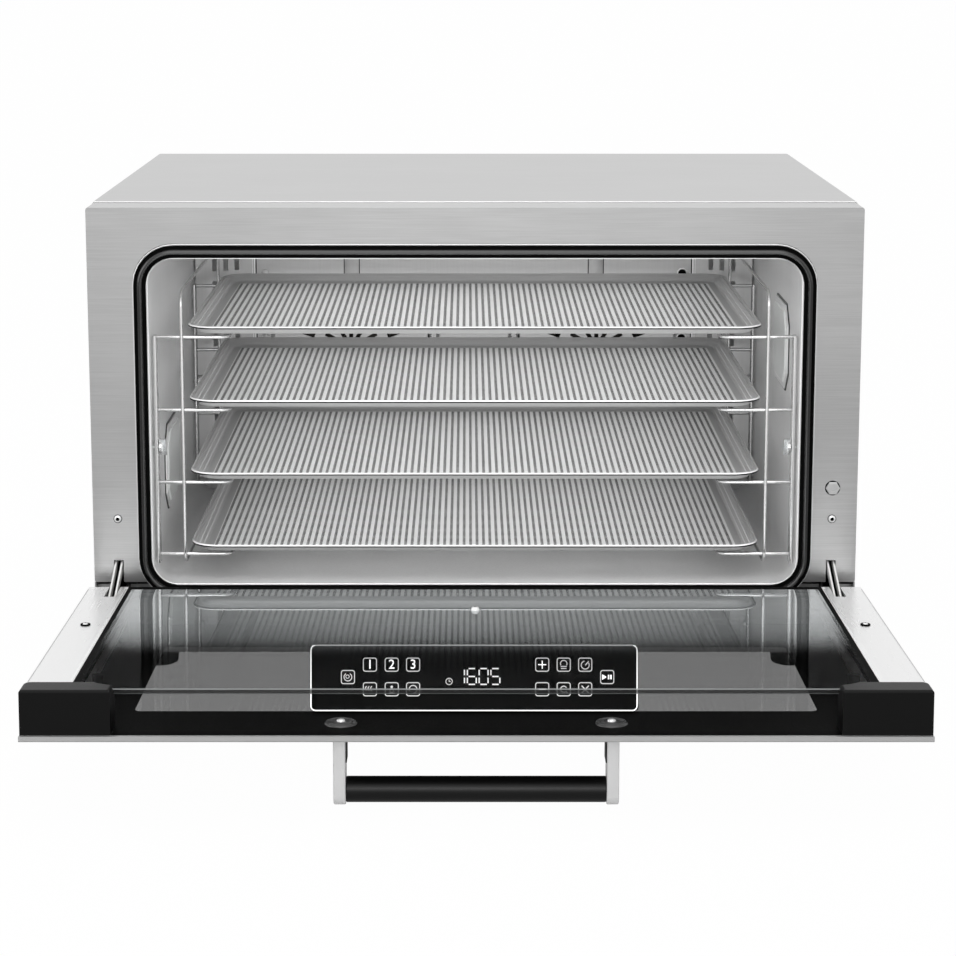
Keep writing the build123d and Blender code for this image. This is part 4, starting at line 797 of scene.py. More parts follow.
# Fasteners: button heads with a star socket, its bottom black as painted shade, and the dark seats they stand
# on
fastener = {
    "frameX": 373,
    "frameLevel": 172,
    "hexLevel": 205,
    "railX": 379.5,
    "railReach": 150,
    "innerFace": -27,
    "frameHead": (
        *((0, 0), (3.9, 0), (3.9, 0.5), (3.5, 1.3), (2.7, 1.9), (1.9, 2.2), (1.8, 2.2), (1.7, 0.9)),
        (0, 0.9),
    ),
    "frameSocket": 1.85,
    "railHead": (
        *((0, 0), (2.7, 0), (2.7, 0.8), (2.5, 1.4), (2.0, 1.8), (1.2, 2.0), (1.1, 2.0), (1.0, 0.9)),
        (0, 0.9),
    ),
    "railSocket": 1.35,
    "frameSeat": ((0, 0), (4.5, 0), (4.5, 0.25), (0, 0.25)),
    "hexSeat": ((0, 0), (7.9, 0), (7.9, 0.25), (0, 0.25)),
    "railSeat": ((0, 0), (4.9, 0), (4.9, 0.9), (4.3, 1.3), (2.6, 1.0), (0, 1.0)),
    "starPoints": 6,
    "starDepth": 0.14,  # share of the socket's radius
    "looks": "polishedBead blackSealStrip",
    "slot": "bright_fasteners",
}


def seatedHead(profile, socketRadius):
    # the socket's wall is drawn into a six-pointed star and its bottom is painted black as the shade in it
    bm = lathe(profile)
    for vert in bm.verts:
        radius = math.hypot(vert.co.x, vert.co.y)
        if 0.1 < radius < socketRadius:
            turn = fastener["starPoints"] * math.atan2(vert.co.y, vert.co.x)
            star = 1 + fastener["starDepth"] * math.cos(turn)
            vert.co.x, vert.co.y = vert.co.x * star, vert.co.y * star
    for face in bm.faces:
        reach = max(math.hypot(v.co.x, v.co.y) for v in face.verts)
        deep = reach < socketRadius * 1.16 and face.calc_center_median().z > 0.2
        face.material_index = 1 if deep else 0
    return bm


frameHeads, railHeads, frontSeats, railSeats = [bmesh.new() for _ in range(4)]
for sign in sides.values():
    spot = onFront(sign * fastener["frameX"], fastener["frameLevel"])
    joinInto(frameHeads, seatedHead(fastener["frameHead"], fastener["frameSocket"]), spot)
    joinInto(frontSeats, lathe(fastener["frameSeat"]), spot)
    spot = onDoor(sign * fastener["railX"], fastener["railReach"], fastener["innerFace"])
    joinInto(railHeads, seatedHead(fastener["railHead"], fastener["railSocket"]), spot)
    joinInto(railSeats, lathe(fastener["railSeat"]), spot)
joinInto(frontSeats, lathe(fastener["hexSeat"]), onFront(fastener["frameX"], fastener["hexLevel"]))
looks, boltSlot = fastener["looks"], fastener["slot"]
addPiece("button_head_screws", frameHeads, looks, "cabinet", "frame_screws", 35)
addPiece("rail_button_screws", railHeads, looks, "door", "rail_screws", 35)
addPiece("front_screw_seats", frontSeats, "blackSealStrip", "cabinet")
addPiece("rail_screw_seats", railSeats, "blackSealStrip", "door")
print("front and rail fasteners turned")

# Handle screws inside the door: small domes on wide ribbed washers
handleScrew = {
    "half": 120.3,
    "reach": 360,
    "out": 8.6,
    "washer": (
        *((3.2, 0), (15, 0), (14.8, 0.8), (13.6, 1.6), (12.4, 1.2), (11.4, 1.2), (10.4, 2.0)),
        *((9.2, 1.4), (8.2, 1.4), (7.2, 2.0), (3.2, 2.0), (3.2, 0)),
    ),
    "dome": ((0, 2.0), (4.2, 2.0), (4.2, 2.4), (3.8, 3.3), (2.8, 4.0), (1.5, 4.4), (0, 4.5)),
    "bolt": ((0, -5.0), (3.0, -5.0), (3.0, 2.2), (0, 2.2)),
}
washers, domes = bmesh.new(), bmesh.new()
for sign in sides.values():
    spot = onDoor(sign * handleScrew["half"], handleScrew["reach"], handleScrew["out"])
    joinInto(washers, lathe(handleScrew["washer"], 40), spot)
    joinInto(domes, lathe(handleScrew["dome"]), spot)
    joinInto(domes, lathe(handleScrew["bolt"], 20), spot)
addPiece("ribbed_handle_washers", washers, "blackSilicone", "door", "handle_washers", 50)
addPiece("domed_handle_screws", domes, "platedScrews", "door", "handle_screws", 50)
print("handle screws turned")

# Handle: flat brackets with eased edges, a black strip on their inner faces as painted shade, and a turned
# grip
handle = {
    "half": 121.4,
    "width": 11.0,
    "depth": 24,
    "glass": 13.6,
    "standOff": 55.4,
    "beyondGrip": 1.2,
    "gripRadius": 11.6,
    "gripChamfer": 0.8,
    "endRadius": 9,
    "ease": 1.2,
    # a black strip of painted shade on each bracket's inner face: thickness and drop, then margin and ease
    "liner": (1.1, 28.5),
    "shadeStripMargin": 2,
    "shadeStripEase": 0.4,
}


def bracketMesh():
    bm = bmesh.new()
    length = handle["standOff"] + handle["gripRadius"] + handle["beyondGrip"]
    steps = 8
    radius = handle["endRadius"]
    outline = [(-handle["depth"] / 2, 0), (handle["depth"] / 2, 0)]
    for corner in (1, -1):
        middle = corner * (handle["depth"] / 2 - radius)
        for step in range(steps + 1):
            turn = math.pi / 2 * step / steps
            swing = (math.cos(turn), math.sin(turn)) if corner > 0 else (-math.sin(turn), math.cos(turn))
            outline.append((middle + radius * swing[0], length - radius + radius * swing[1]))
    verts = [bm.verts.new((-handle["width"] / 2, along, out)) for along, out in outline]
    side = [bm.faces.new(verts)]
    pullOut(bm, bmesh.ops.extrude_face_region(bm, geom=side), (handle["width"], 0, 0))
    outward(bm)
    rims = [e for e in bm.edges if abs(e.verts[0].co.x - e.verts[1].co.x) < 1e-5]
    rims = [e for e in rims if max(v.co.z for v in e.verts) > 0.1]
    ease(bm, rims, handle["ease"], 3, clamp=True)
    return bm


brackets, paintedShadeStrips, bar = bmesh.new(), bmesh.new(), bmesh.new()
thick, drop = handle["liner"]
shadeStripWide = handle["depth"] - 2 * handle["shadeStripMargin"]
barHalf = handle["half"] - handle["width"] / 2
for sign in sides.values():
    joinInto(brackets, bracketMesh(), underDoor(sign * handle["half"], handleScrew["reach"], handle["glass"]))
    spot = underDoor(sign * (barHalf - thick / 2), handleScrew["reach"], handle["glass"] + drop / 2)
    joinInto(paintedShadeStrips, easedStrip(thick, shadeStripWide, drop, handle["shadeStripEase"]), spot)
radius, chamfer = handle["gripRadius"], handle["gripChamfer"]
barProfile = [(0, -barHalf), (radius - chamfer, -barHalf), (radius, chamfer - barHalf)]
barProfile += [(around, -height) for around, height in reversed(barProfile)]
turned = lathe(barProfile, 48)
bmesh.ops.rotate(turned, verts=turned.verts, matrix=Matrix.Rotation(math.pi / 2, 3, "Y"))
joinInto(bar, turned, underDoor(0, handleScrew["reach"], handle["glass"] + handle["standOff"]))
handleParts = (
    ("eased_handle_brackets", brackets, "anodisedAluminium", "bracket_aluminium", "handle_brackets"),
    ("handle_bracket_liners", paintedShadeStrips, "blackNylon", "grip_plastic", None),
    ("turned_handle_grip", bar, "satinBlackGrip", "grip_plastic", "handle_grip"),
)
for name, part, look, slotName, replaced in handleParts:
    addPiece(name, outward(part), look, "door", replaced, 35)
print("handle made")

# Thin rounded lines of light, drawn whiter than their sheets as painted highlight: the mouth where the liner
# turns out into its flange, the steel bead round the gasket, and the folded front edges of the frame and of
# the wrap, which are open below
# Each has its half width, low and high, depth behind the face, radius, bend and slot
beads = {
    "rolled_mouth_edge": (337.4, 101.6, 446.4, 1.2, 0.65, 25, "liner_steel"),
    "gasket_retainer_bead": (351.9, 87.5, 460.5, 0.2, 0.8, 42.4, "liner_steel"),
    "frame_fold_line": (398.2, 104, 498.2, 0.8, 0.7, 3.2, "front_steel"),
    "wrap_fold_line": (399.4, 40, 499.4, 47.6, 0.6, 3.2, "casing_steel"),
}


def addBead(name):
    half, low, high, behind, radius, bend, slotName = beads[name]
    corners = [(-half, behind, low), (half, behind, low), (half, behind, high), (-half, behind, high)]
    closed = slotName == "liner_steel"
    if not closed:
        corners = [corners[i] for i in (0, 3, 2, 1)]
    line = wireShell(bentWire(corners, radius, bend, closed))
    addPiece(name, line, "polishedBead", "cabinet", smooth=60)


addBead("rolled_mouth_edge")
print("mouth edge rolled")

# Door gasket: a dull flange with a waxy bulb standing along its middle
gasket = {
    "half": 351,
    "low": 88.4,
    "high": 459.6,
    "corner": 41.5,
    "cornerSteps": 12,
    # inset from the outer edge, height over the face, and 1 where the bulb begins
    "section": (
        *((0, 0, 0), (0, 3.2, 0), (0.5, 3.8, 0), (3.0, 4.0, 0), (3.6, 4.6, 1), (4.1, 7.2, 1), (5.0, 8.8, 1)),
        *((6.3, 9.4, 1), (7.6, 8.8, 1), (8.5, 7.2, 1), (9.0, 4.6, 0), (9.6, 4.0, 0), (12.0, 3.8, 0)),
        *((12.5, 3.2, 0), (12.5, 0, 0)),
    ),
}


def roundedRing(inset):
    corner, steps = gasket["corner"] - inset, gasket["cornerSteps"]
    x = gasket["half"] - inset - corner
    low, high = gasket["low"] + inset + corner, gasket["high"] - inset - corner
    ring = []
    for middleX, middleZ, start in ((x, high, 0), (-x, high, 90), (-x, low, 180), (x, low, 270)):
        for step in range(steps + 1):
            turn = math.radians(start + 90 * step / steps)
            ring.append((middleX + corner * math.cos(turn), middleZ + corner * math.sin(turn)))
    return ring


def gasketMesh():
    bm = bmesh.new()
    rings = []
    for inset, out, _ in gasket["section"]:
        rings.append([bm.verts.new((x * mm, frontY - out * mm, z * mm)) for x, z in roundedRing(inset)])
    count = len(rings[0])
    for i, ring in enumerate(rings):
        following = rings[(i + 1) % len(rings)]
        for j in range(count):
            k = (j + 1) % count
            face = bm.faces.new((ring[j], ring[k], following[k], following[j]))
            face.material_index = gasket["section"][i][2]
    return outward(bm)


looks = "blackSealStrip blackSilicone"
addPiece("bulb_door_gasket", gasketMesh(), looks, "cabinet", "door_gasket", 40)
for name in ("gasket_retainer_bead", "frame_fold_line", "wrap_fold_line"):
    addBead(name)
print("gasket moulded and front folds drawn")

# Baffle details: joggled edges and port rims drawn paler as painted highlight, black strips in the grooves
# and open ports as painted shade, straps over the grilles, and plugs in the ports
baffle = {
    "face": 458.9,  # depth of the panel's front
    "low": 106,
    "high": 442,
    "edge": (266.9, 1.6, 1.2, 0.35),  # place, width, thickness and eased edge, as the next four
    "groove": (265.1, 1.1, 0.6, 0.1),
    "joggle": (272.6, 7.4, 0.8, 0.2),
    "strap": (148.6, 17.4, 1.6, 0.5),
    "strapGroove": (9.2, 1.0, 0.5, 0.1),  # its place is measured from the strap's middle
    "joggleTurn": 18,
    "strapReach": (352, 441),
    "port": (254, 367, 287),
    "rim": ((4.9, 0.6), (4.9, 1.1), (5.4, 1.5), (6.2, 1.4), (6.6, 0.9), (6.6, 0), (4.9, 0), (4.9, 0.6)),
    "sleeve": ((0, -1.4), (4.7, -1.4), (4.7, -0.8), (0, -0.8)),  # black bottom of the open ports, painted shade inside them
    "plug": ((0, -0.6), (4.8, -0.6), (4.8, 0.3), (4.2, 0.7), (0, 0.8)),
}


def onBaffle(x, z):
    return onFront(x, z, baffle["face"])


def baffleStrip(kind, tall):
    width, thick, edge = baffle[kind][1:]
    return easedStrip(width, tall, thick, edge)


paintedHighlightStrips, paintedShadeGrooves, straps, plugs = [bmesh.new() for _ in range(4)]
tall, middle = baffle["high"] - baffle["low"], (baffle["high"] + baffle["low"]) / 2
strapLow, strapHigh = baffle["strapReach"]
strapTall, strapMiddle = strapHigh - strapLow, (strapLow + strapHigh) / 2
for sign in sides.values():
    joinInto(paintedHighlightStrips, baffleStrip("edge", tall), onBaffle(sign * baffle["edge"][0], middle))
    joinInto(paintedShadeGrooves, baffleStrip("groove", tall), onBaffle(sign * baffle["groove"][0], middle))
    lean = Matrix.Rotation(sign * math.radians(baffle["joggleTurn"]), 4, "Y")
    joinInto(paintedHighlightStrips, baffleStrip("joggle", tall), onBaffle(sign * baffle["joggle"][0], middle) @ lean)
    x = sign * baffle["strap"][0]
    joinInto(straps, baffleStrip("strap", strapTall), onBaffle(x, strapMiddle))
    for step in (-baffle["strapGroove"][0], baffle["strapGroove"][0]):
        joinInto(paintedShadeGrooves, baffleStrip("strapGroove", strapTall), onBaffle(x + step, strapMiddle))
x, *levels = baffle["port"]
for level in levels:
    # open on the right, plugged on the left
    joinInto(paintedHighlightStrips, lathe(baffle["rim"]), onBaffle(x, level))
    joinInto(paintedShadeGrooves, lathe(baffle["sleeve"]), onBaffle(x, level))
    joinInto(plugs, lathe(baffle["plug"]), onBaffle(-x, level))
# the edge strips and port rims are painted highlight, the grooves painted shade
baffleParts = (
    ("baffle_edge_strips", paintedHighlightStrips, "brightAnnealedLiner"),
    ("baffle_grooves", paintedShadeGrooves, "blackSealStrip"),
    ("baffle_straps", straps, "satinBaffleSteel"),
    ("baffle_port_plugs", plugs, "satinBaffleSteel"),
)
for name, part, look in baffleParts:
    addPiece(name, outward(part), look, "cabinet", smooth=35)
print("baffle detailed")

# Lamp frames: an eight-sided steel frame with a thin dark seal round it
lampFrame = {
    "left": {"depth": 178, "level": 197.5},
    "right": {"depth": 159, "level": 333.5},
    "long": 104,
    "tall": 78,
    "cut": 16,
    "frame": 6.8,
    "seal": 2.0,
    "proud": 2.4,
    "sealProud": 1.2,
    "wall": 338,
}


def octagon(grow):
    # the lamp's outline, grown by so many mm all round
    x, y = lampFrame["long"] / 2 + grow, lampFrame["tall"] / 2 + grow
    cut = lampFrame["cut"] + grow * (2 - math.sqrt(2))
    right = [(x, y - cut), (x - cut, y)]
    left = [(cut - x, y), (-x, y - cut)]
    return right + left + [(-across, -up) for across, up in right + left]


def lampRing(inside, width, thick):
    # a flat ring between two outlines
    bm = bmesh.new()
    insides = [bm.verts.new((x, y, 0)) for x, y in octagon(inside)]
    outsides = [bm.verts.new((x, y, 0)) for x, y in octagon(inside + width)]
    count = len(insides)
    for i in range(count):
        j = (i + 1) % count
        bm.faces.new((insides[i], outsides[i], outsides[j], insides[j]))
    bm.normal_update()
    if bm.faces[:][0].normal.z < 0:
        bmesh.ops.reverse_faces(bm, faces=bm.faces)
    bmesh.ops.solidify(bm, geom=bm.faces[:], thickness=thick)
    bmesh.ops.translate(bm, verts=bm.verts, vec=(0, 0, thick - max(v.co.z for v in bm.verts)))
    return bm


steelRings, sealRings = bmesh.new(), bmesh.new()
for side, sign in sides.items():
    spot = lampFrame[side]
    origin = Vector((sign * lampFrame["wall"] * mm, frontY + spot["depth"] * mm, spot["level"] * mm))
    onWall = axesAt(origin, backward, upward, -sign * rightward)
    joinInto(steelRings, lampRing(0, lampFrame["frame"], lampFrame["proud"]), onWall)
    joinInto(sealRings, lampRing(lampFrame["frame"], lampFrame["seal"], lampFrame["sealProud"]), onWall)
look = "brightAnnealedLiner"
addPiece("lamp_frames", outward(steelRings), look, "cabinet", "lamp_seals")
addPiece("lamp_frame_seals", outward(sealRings), "blackSilicone", "cabinet")
print("lamp frames cut")

# Enamel printed on the inner side of the outer pane, open over the window
enamel = {
    "half": 396,
    "reach": (-4.5, 396.5),
    "windowHalf": 309,
    "windowReach": (100, 323),
    "windowCorner": 6,
    "thick": 0.15,
    "out": 8.6,  # the pane's inner face
}


def doorFlat(bm):
    # stands a flat drawing, in mm across and along the door, on the open door
    onHinge = axesAt(hinge, rightward, alongDoor, outOfDoor)
    bmesh.ops.transform(bm, matrix=onHinge @ Matrix.Scale(mm, 4), verts=bm.verts)


def doorOutline(bm, half, reach, corner):
    # the empty outline of a rounded plate that lies along the door
    start, end = reach
    plate = roundedPlate(bm, 2 * half, end - start, corner, 4)
    bmesh.ops.translate(bm, verts=bm.verts, vec=(0, (start + end) / 2, 0))
    outline = [e for e in bm.edges if e.is_boundary]
    openFaces(bm, plate)
    return outline


def enamelBorder():
    bm = bmesh.new()
    near, far = enamel["reach"]
    inner = doorOutline(bm, enamel["windowHalf"], enamel["windowReach"], enamel["windowCorner"])
    outer = flatPlate(bm, 2 * enamel["half"], far - near)
    bmesh.ops.translate(bm, verts=outer, vec=(0, (near + far) / 2, 0))
    plate = outer[0].link_faces[0]
    border = list(plate.edges)
    openFaces(bm, [plate])
    fillBetween(bm, inner + border)
    bmesh.ops.translate(bm, verts=bm.verts, vec=(0, 0, enamel["out"]))
    outward(bm)
    if sum(f.normal.z for f in bm.faces) > 0:
        bmesh.ops.reverse_faces(bm, faces=bm.faces)
    bmesh.ops.solidify(bm, geom=bm.faces[:], thickness=-enamel["thick"])
    doorFlat(bm)
    return outward(bm)


addPiece("enamel_border", enamelBorder(), "blackEnamel", "door")
print("enamel border laid on the outer pane")

# Panes with drilled holes, ground edges and polished arrises
panes = {
    "ground_inner_pane": {
        "half": 355.4,
        "reach": (3.9, 374),
        "corner": 3,
        "out": -27,
        "holes": ((0, 92, 2.6),),
        "look": "coatedTemperedGlass",
        "slot": "clear_glass",
        "node": "inner_glass",
    },
    "ground_outer_pane": {
        "half": 399.9,
        "reach": (-6.1, 396.8),
        "corner": 4,
        "out": 8.6,
        "holes": ((-120.3, 360, 3.3), (120.3, 360, 3.3)),
        "look": "tintedTemperedGlass",
        "slot": "tinted_glass",
        "node": "outer_glass",
    },
}
paneEdge = {"thick": 5, "arris": 1.0, "looks": " groundGlassEdge polishedArris"}


def paneMesh(pane):
    bm = bmesh.new()
    start, end = pane["reach"]
    rings = doorOutline(bm, pane["half"], pane["reach"], pane["corner"])
    for x, reach, radius in pane["holes"]:
        circle = bmesh.ops.create_circle(bm, cap_ends=False, segments=24, radius=radius)["verts"]
        bmesh.ops.translate(bm, verts=circle, vec=(x, reach, 0))
        rings += list({e for v in circle for e in v.link_edges})
    fillBetween(bm, rings)
    pullOut(bm, bmesh.ops.extrude_face_region(bm, geom=bm.faces[:]), (0, 0, paneEdge["thick"]))
    outward(bm)
    far = pane["half"] - pane["corner"] - 1
    rims = []
    for edge in bm.edges:
        first, second = [v.co for v in edge.verts]
        atEnd = abs(first.x) > far or min(abs(first.y - start), abs(first.y - end)) < 0.01
        sharp = len(edge.link_faces) == 2 and edge.calc_face_angle(0) > 1
        if sharp and atEnd and abs(first.z - second.z) < 1e-4:
            rims.append(edge)
    ease(bm, rims, paneEdge["arris"], 1)
    bm.normal_update()
    # the slanted arris faces take the painted highlight
    for face in bm.faces:
        flat = abs(face.normal.z)
        face.material_index = 0 if flat > 0.95 else (2 if flat > 0.3 else 1)
    bmesh.ops.translate(bm, verts=bm.verts, vec=(0, 0, pane["out"]))
    doorFlat(bm)
    return outward(bm)


for name, pane in panes.items():
    looks = pane["look"] + paneEdge["looks"]
    addPiece(name, paneMesh(pane), looks, "door", pane["node"])
print("panes ground:", ", ".join(panes))

# Polished fold along each rail's inner edge, drawn whiter as painted highlight, and a duller one along its
# outer edge
railFold = {
    "inner": (360.3, 1.5, "polishedBead"),
    "outer": (399.2, 0.9, "anodisedTrim"),
    "reach": (3, 352),
    "thick": 0.5,
    "ease": 0.2,
}
start, end = railFold["reach"]
for edge in ("inner", "outer"):
    where, width, look = railFold[edge]
    folds = bmesh.new()
    for sign in sides.values():
        strip = easedStrip(width, end - start, railFold["thick"], railFold["ease"])
        joinInto(folds, strip, onDoor(sign * where, (start + end) / 2, fastener["innerFace"]))
    addPiece(f"rail_{edge}_folds", outward(folds), look, "door", smooth=35)

# Domed button that holds the inner pane
button = {
    "reach": 92,
    "socket": 1.45,
    "dome": (
        *((0, 1.9), (1.3, 1.9), (1.4, 3.6), (2.4, 3.5), (3.6, 2.6), (4.3, 1.2), (4.4, 0), (0, 0)),
        (0, 1.9),
    ),
}
bm = bmesh.new()
spot = onDoor(0, button["reach"], fastener["innerFace"])
joinInto(bm, seatedHead(button["dome"], button["socket"]), spot)
addPiece("domed_glass_button", outward(bm), fastener["looks"], "door", "glass_button", 40)
print("rail folds and glass button added")

# Control panel: a printed film with keys and a display, drawn as the photograph frames it
panel = {
    "left": 310.5,  # pixels of the 956 frame, as all the places below
    "right": 637.5,
    "top": 645,
    "bottom": 711,
    "corner": 5,
    "line": 0.95,
    "farLine": 0.6,  # taken off the far line, which is the thinnest
    "key": 14,
    "keyCorner": 2.6,
    "keyLine": 0.85,
    "keyColumns": (369.9, 391.7, 413.1, 542.2, 563.7, 585.2),
    "keyRows": (664.7, 689.3),
    "middleKeys": ((347.9, 677.1), (607.2, 677.1)),
    "numberSize": 13.2,
    "digits": "1605",
    "digitPlace": (454.9, 668.6),
    "digitSize": (10.2, 15.8),
    "digitPitch": 11.8,
    "segment": 1.3,
    "innerFace": 6.2,  # mm out of the hinge plane
    "outerFace": 8.62,
    "film": 0.25,
    "ink": 0.08,
    "outerScale": 0.9,  # mm to a pixel on the side that shows when the door is shut
    "outerReach": 215,
}
# arcs: centre, radius, line, and start and sweep in degrees; bars: both ends and line; dots: centre, radius
greySigns = {
    "onOff": (("arc", 347.9, 677.1, 3.9, 0.9, 300, 300), ("arc", 347.5, 676.7, 1.7, 0.7)),
    "threeHeats": [("arc", x, 688.7, 2.9, 0.9, 125, 110) for x in (368.3, 370.9, 373.5)],
    "fan": (("dot", 391.7, 686.9, 1.3), ("arc", 391.7, 690.5, 1.9, 0.8)),
    "fanBase": (("bar", 388.6, 693.3, 394.8, 693.3, 0.8),),
    "turningAir": (("arc", 413.1, 689.3, 3.9, 0.9, 150, 290), ("bar", 410.8, 689.3, 415.4, 689.3, 0.9)),
    "clock": (("arc", 449.1, 681.5, 3.2, 0.7), ("bar", 449.1, 681.6, 449.1, 679.4, 0.7)),
    "clockHand": (("bar", 448.9, 681.5, 450.6, 681.5, 0.7),),
    "hat": (("arc", 563.7, 663.7, 3.3, 0.8, 150, 240), ("bar", 560.7, 666.5, 566.7, 666.5, 0.8)),
    "hatBand": (("bar", 560.9, 668.5, 566.5, 668.5, 0.8),),
    "timer": (("arc", 585.2, 665.1, 4.0, 0.9, -30, 290), ("bar", 585.2, 665.3, 588.6, 661.5, 1.0)),
    "lens": (("arc", 563.7, 689.3, 3.1, 0.9, 30, 300), ("bar", 565.6, 691.3, 567.6, 693.3, 0.9)),
    "cross": (("bar", 581.6, 685.7, 588.6, 693.1, 1.1), ("bar", 588.8, 685.7, 581.8, 693.1, 1.1)),
}
whiteSigns = {
    "plus": (("bar", 538.2, 664.7, 546.2, 664.7, 0.9), ("bar", 542.2, 660.7, 542.2, 668.7, 0.9)),
    "minus": (("bar", 538.4, 689.3, 546, 689.3, 1.2),),
    "play": [("bar", 602.6 + i, 674.7 + i * 0.6, 602.6 + i, 679.5 - i * 0.6, 1.05) for i in range(4)],
    "pause": [("bar", x, 674.9, x, 679.3, 1.3) for x in (608.6, 611)],
}
focal = camera["lens"] / camera["sensor"] * camera["pixels"]
centreU = camera["pixels"] * (0.5 - camera["shift"][0])
centreV = camera["pixels"] * (0.5 + camera["shift"][1])
panelMiddle = ((panel["left"] + panel["right"]) / 2, (panel["top"] + panel["bottom"]) / 2)
panelSize = (panel["right"] - panel["left"], panel["bottom"] - panel["top"])


def innerSpot(u, v, out):
    # where the line of sight through a pixel meets the open door
    aim = cam.rotation_euler.to_matrix() @ Vector(((u - centreU) / focal, (centreV - v) / focal, -1))
    reachFor = (doorPoint(0, 0, out * mm) - cam.location).dot(outOfDoor) / aim.dot(outOfDoor)
    return cam.location + aim * reachFor


def outerSpot(u, v, out):
    x = (u - panelMiddle[0]) * panel["outerScale"]
    reach = panel["outerReach"] + (panelMiddle[1] - v) * panel["outerScale"]
    return doorPoint(x * mm, reach * mm, out * mm)


def putDown(bm, part, x, y):
    bmesh.ops.translate(part, verts=part.verts, vec=(x, y, 0))
    pourInto(bm, part)


def drawFrame(bm, x, y, size, corner, line):
    part = bmesh.new()
    plate = roundedPlate(part, *size, corner, 5)
    insetFaces(part, plate, line)
    openFaces(part, plate)
    putDown(bm, part, x, y)


def drawFilm(bm):
    part = bmesh.new()
    roundedPlate(part, *panelSize, panel["corner"], 5)
    putDown(bm, part, *panelMiddle)


def drawOutline(bm):
    drawFrame(bm, *panelMiddle, panelSize, panel["corner"], panel["line"])
    innerTop = panel["top"] + panel["line"]
    for vert in bm.verts:
        if abs(vert.co.y - innerTop) < 0.1:
            vert.co.y -= panel["farLine"]


def drawBar(bm, startX, startY, endX, endY, line):
    part = bmesh.new()
    along = Vector((endX - startX, endY - startY))
    flatPlate(part, along.length, line)
    bmesh.ops.rotate(part, verts=part.verts, matrix=Matrix.Rotation(math.atan2(along.y, along.x), 3, "Z"))
    putDown(bm, part, (startX + endX) / 2, (startY + endY) / 2)


def drawArc(bm, x, y, radius, line, start=0, sweep=360):
    part = bmesh.new()
    spots = [part.verts.new((radius - line / 2, 0, 0)), part.verts.new((radius + line / 2, 0, 0))]
    bmesh.ops.spin(
        part,
        geom=spots + [part.edges.new(spots)],
        cent=(0, 0, 0),
        axis=(0, 0, 1),
        angle=math.radians(sweep),
        steps=max(6, int(sweep / 15)),
        use_merge=sweep == 360,
    )
    bmesh.ops.rotate(part, verts=part.verts, matrix=Matrix.Rotation(math.radians(start), 3, "Z"))
    putDown(bm, part, x, y)


def drawDot(bm, x, y, radius):
    part = bmesh.new()
    bmesh.ops.create_circle(part, cap_ends=True, segments=12, radius=radius)
    putDown(bm, part, x, y)


def drawGlyph(bm, text, x, y, size):
    curve = bpy.data.curves.new("glyph", "FONT")
    curve.body = text
    curve.size = size
    curve.align_x, curve.align_y = "CENTER", "CENTER"
    curve.resolution_u = 3
    holder = bpy.data.objects.new("glyph", curve)
    mesh = bpy.data.meshes.new_from_object(holder)
    bpy.data.objects.remove(holder)
    part = bmesh.new()
    part.from_mesh(mesh)
    bmesh.ops.scale(part, vec=(1, -1, 1), verts=part.verts)
    putDown(bm, part, x, y)


def drawSigns(bm, signs):
    shapes = {"arc": drawArc, "bar": drawBar, "dot": drawDot}
    for strokes in signs.values():
        for shape, *numbers in strokes:
            shapes[shape](bm, *numbers)


segmentsOf = {"0": "abcdef", "1": "bc", "5": "acdfg", "6": "acdefg"}
segmentEnds = {
    "a": ((0, 0), (1, 0)),
    "b": ((1, 0), (1, 0.5)),
    "c": ((1, 0.5), (1, 1)),
    "d": ((0, 1), (1, 1)),
    "e": ((0, 0.5), (0, 1)),
    "f": ((0, 0), (0, 0.5)),
    "g": ((0, 0.5), (1, 0.5)),
}


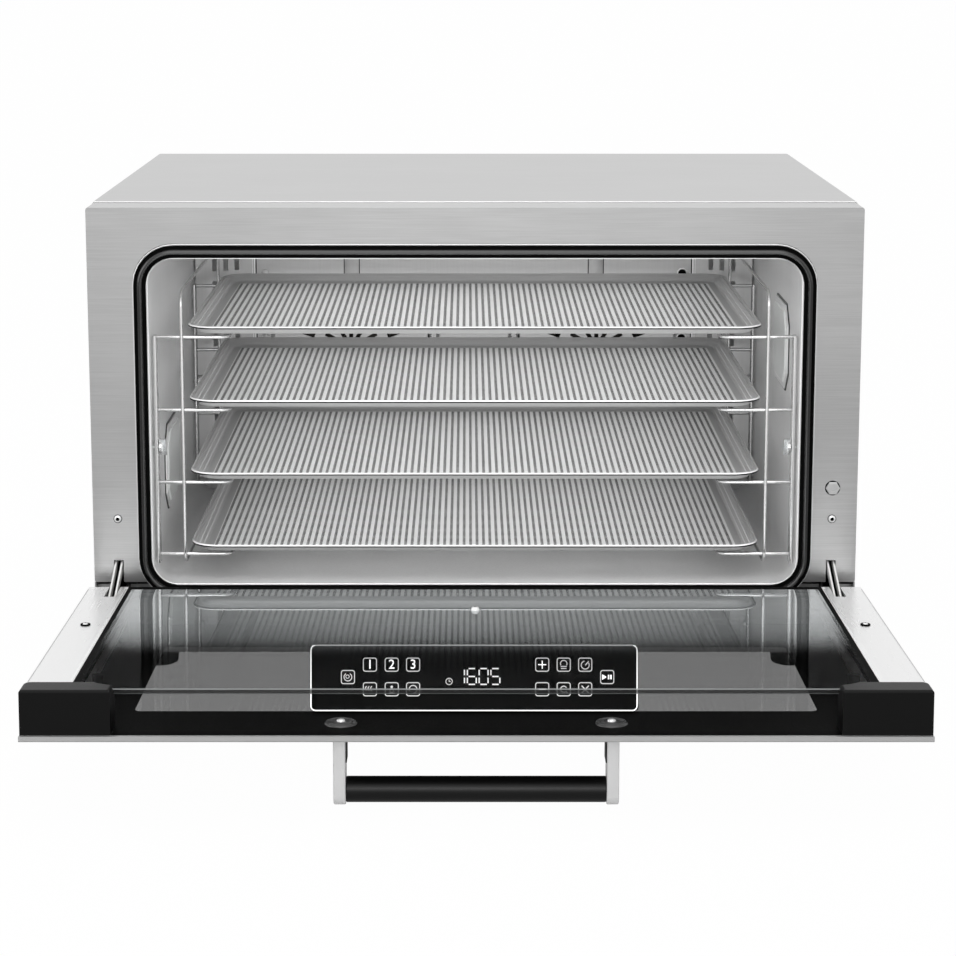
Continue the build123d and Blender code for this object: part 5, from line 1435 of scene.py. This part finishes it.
def drawTime(bm):
    left, top = panel["digitPlace"]
    width, height = panel["digitSize"]
    line = panel["segment"]
    for digit in panel["digits"]:
        for name in segmentsOf[digit]:
            spots = []
            for across, down in segmentEnds[name]:
                spots.append(Vector((left + across * (width - line) + line / 2, top + down * height)))
            gap = (spots[1] - spots[0]).normalized() * line * 0.95
            drawBar(bm, *(spots[0] + gap), *(spots[1] - gap), line)
        left += panel["digitPitch"]


def drawKeys(bm):
    # printed outlines of the keys with their grey signs
    keys = [(x, y) for y in panel["keyRows"] for x in panel["keyColumns"]]
    for key in (*keys, *panel["middleKeys"]):
        drawFrame(bm, *key, (panel["key"], panel["key"]), panel["keyCorner"], panel["keyLine"])
    drawSigns(bm, greySigns)


def drawNumbers(bm):
    # what is printed whiter: the numbered keys, plus, minus and play
    for text, x in zip("123", panel["keyColumns"]):
        drawGlyph(bm, text, x, panel["keyRows"][0], panel["numberSize"])
    drawSigns(bm, whiteSigns)


def printOn(draw, spotFor, out, thick):
    # lays a flat drawing in pixels on the door and gives it its thickness
    bm = bmesh.new()
    draw(bm)
    bmesh.ops.remove_doubles(bm, verts=bm.verts, dist=0.001)
    for vert in bm.verts:
        vert.co = spotFor(vert.co.x, vert.co.y, out)
    bm.normal_update()
    turned = [f for f in bm.faces if f.normal.dot(outOfDoor) > 0]
    bmesh.ops.reverse_faces(bm, faces=turned)
    bmesh.ops.solidify(bm, geom=bm.faces[:], thickness=-thick * mm)
    bmesh.ops.reverse_faces(bm, faces=bm.faces)  # a wall set back leaves them facing inwards
    return bm


film = printOn(drawFilm, innerSpot, panel["innerFace"], panel["film"])
addPiece("panel_film", film, "blackAcrylic", "door")
prints = {
    "panel_outline": (drawOutline, "printedWhite"),
    "key_signs": (drawKeys, "keyOutlineInk"),
    "display_digits": (drawTime, "displayWhite"),
    "key_numbers": (drawNumbers, "printedWhite"),
}
printedFaces = {
    "": (innerSpot, panel["innerFace"] - panel["film"]),
    "outer_": (outerSpot, panel["outerFace"] + panel["ink"]),
}
for side, (spotFor, out) in printedFaces.items():
    for name, (draw, look) in prints.items():
        addPiece(side + name, printOn(draw, spotFor, out, panel["ink"]), look, "door")
print("control panel printed:", len(prints), "prints on each side")
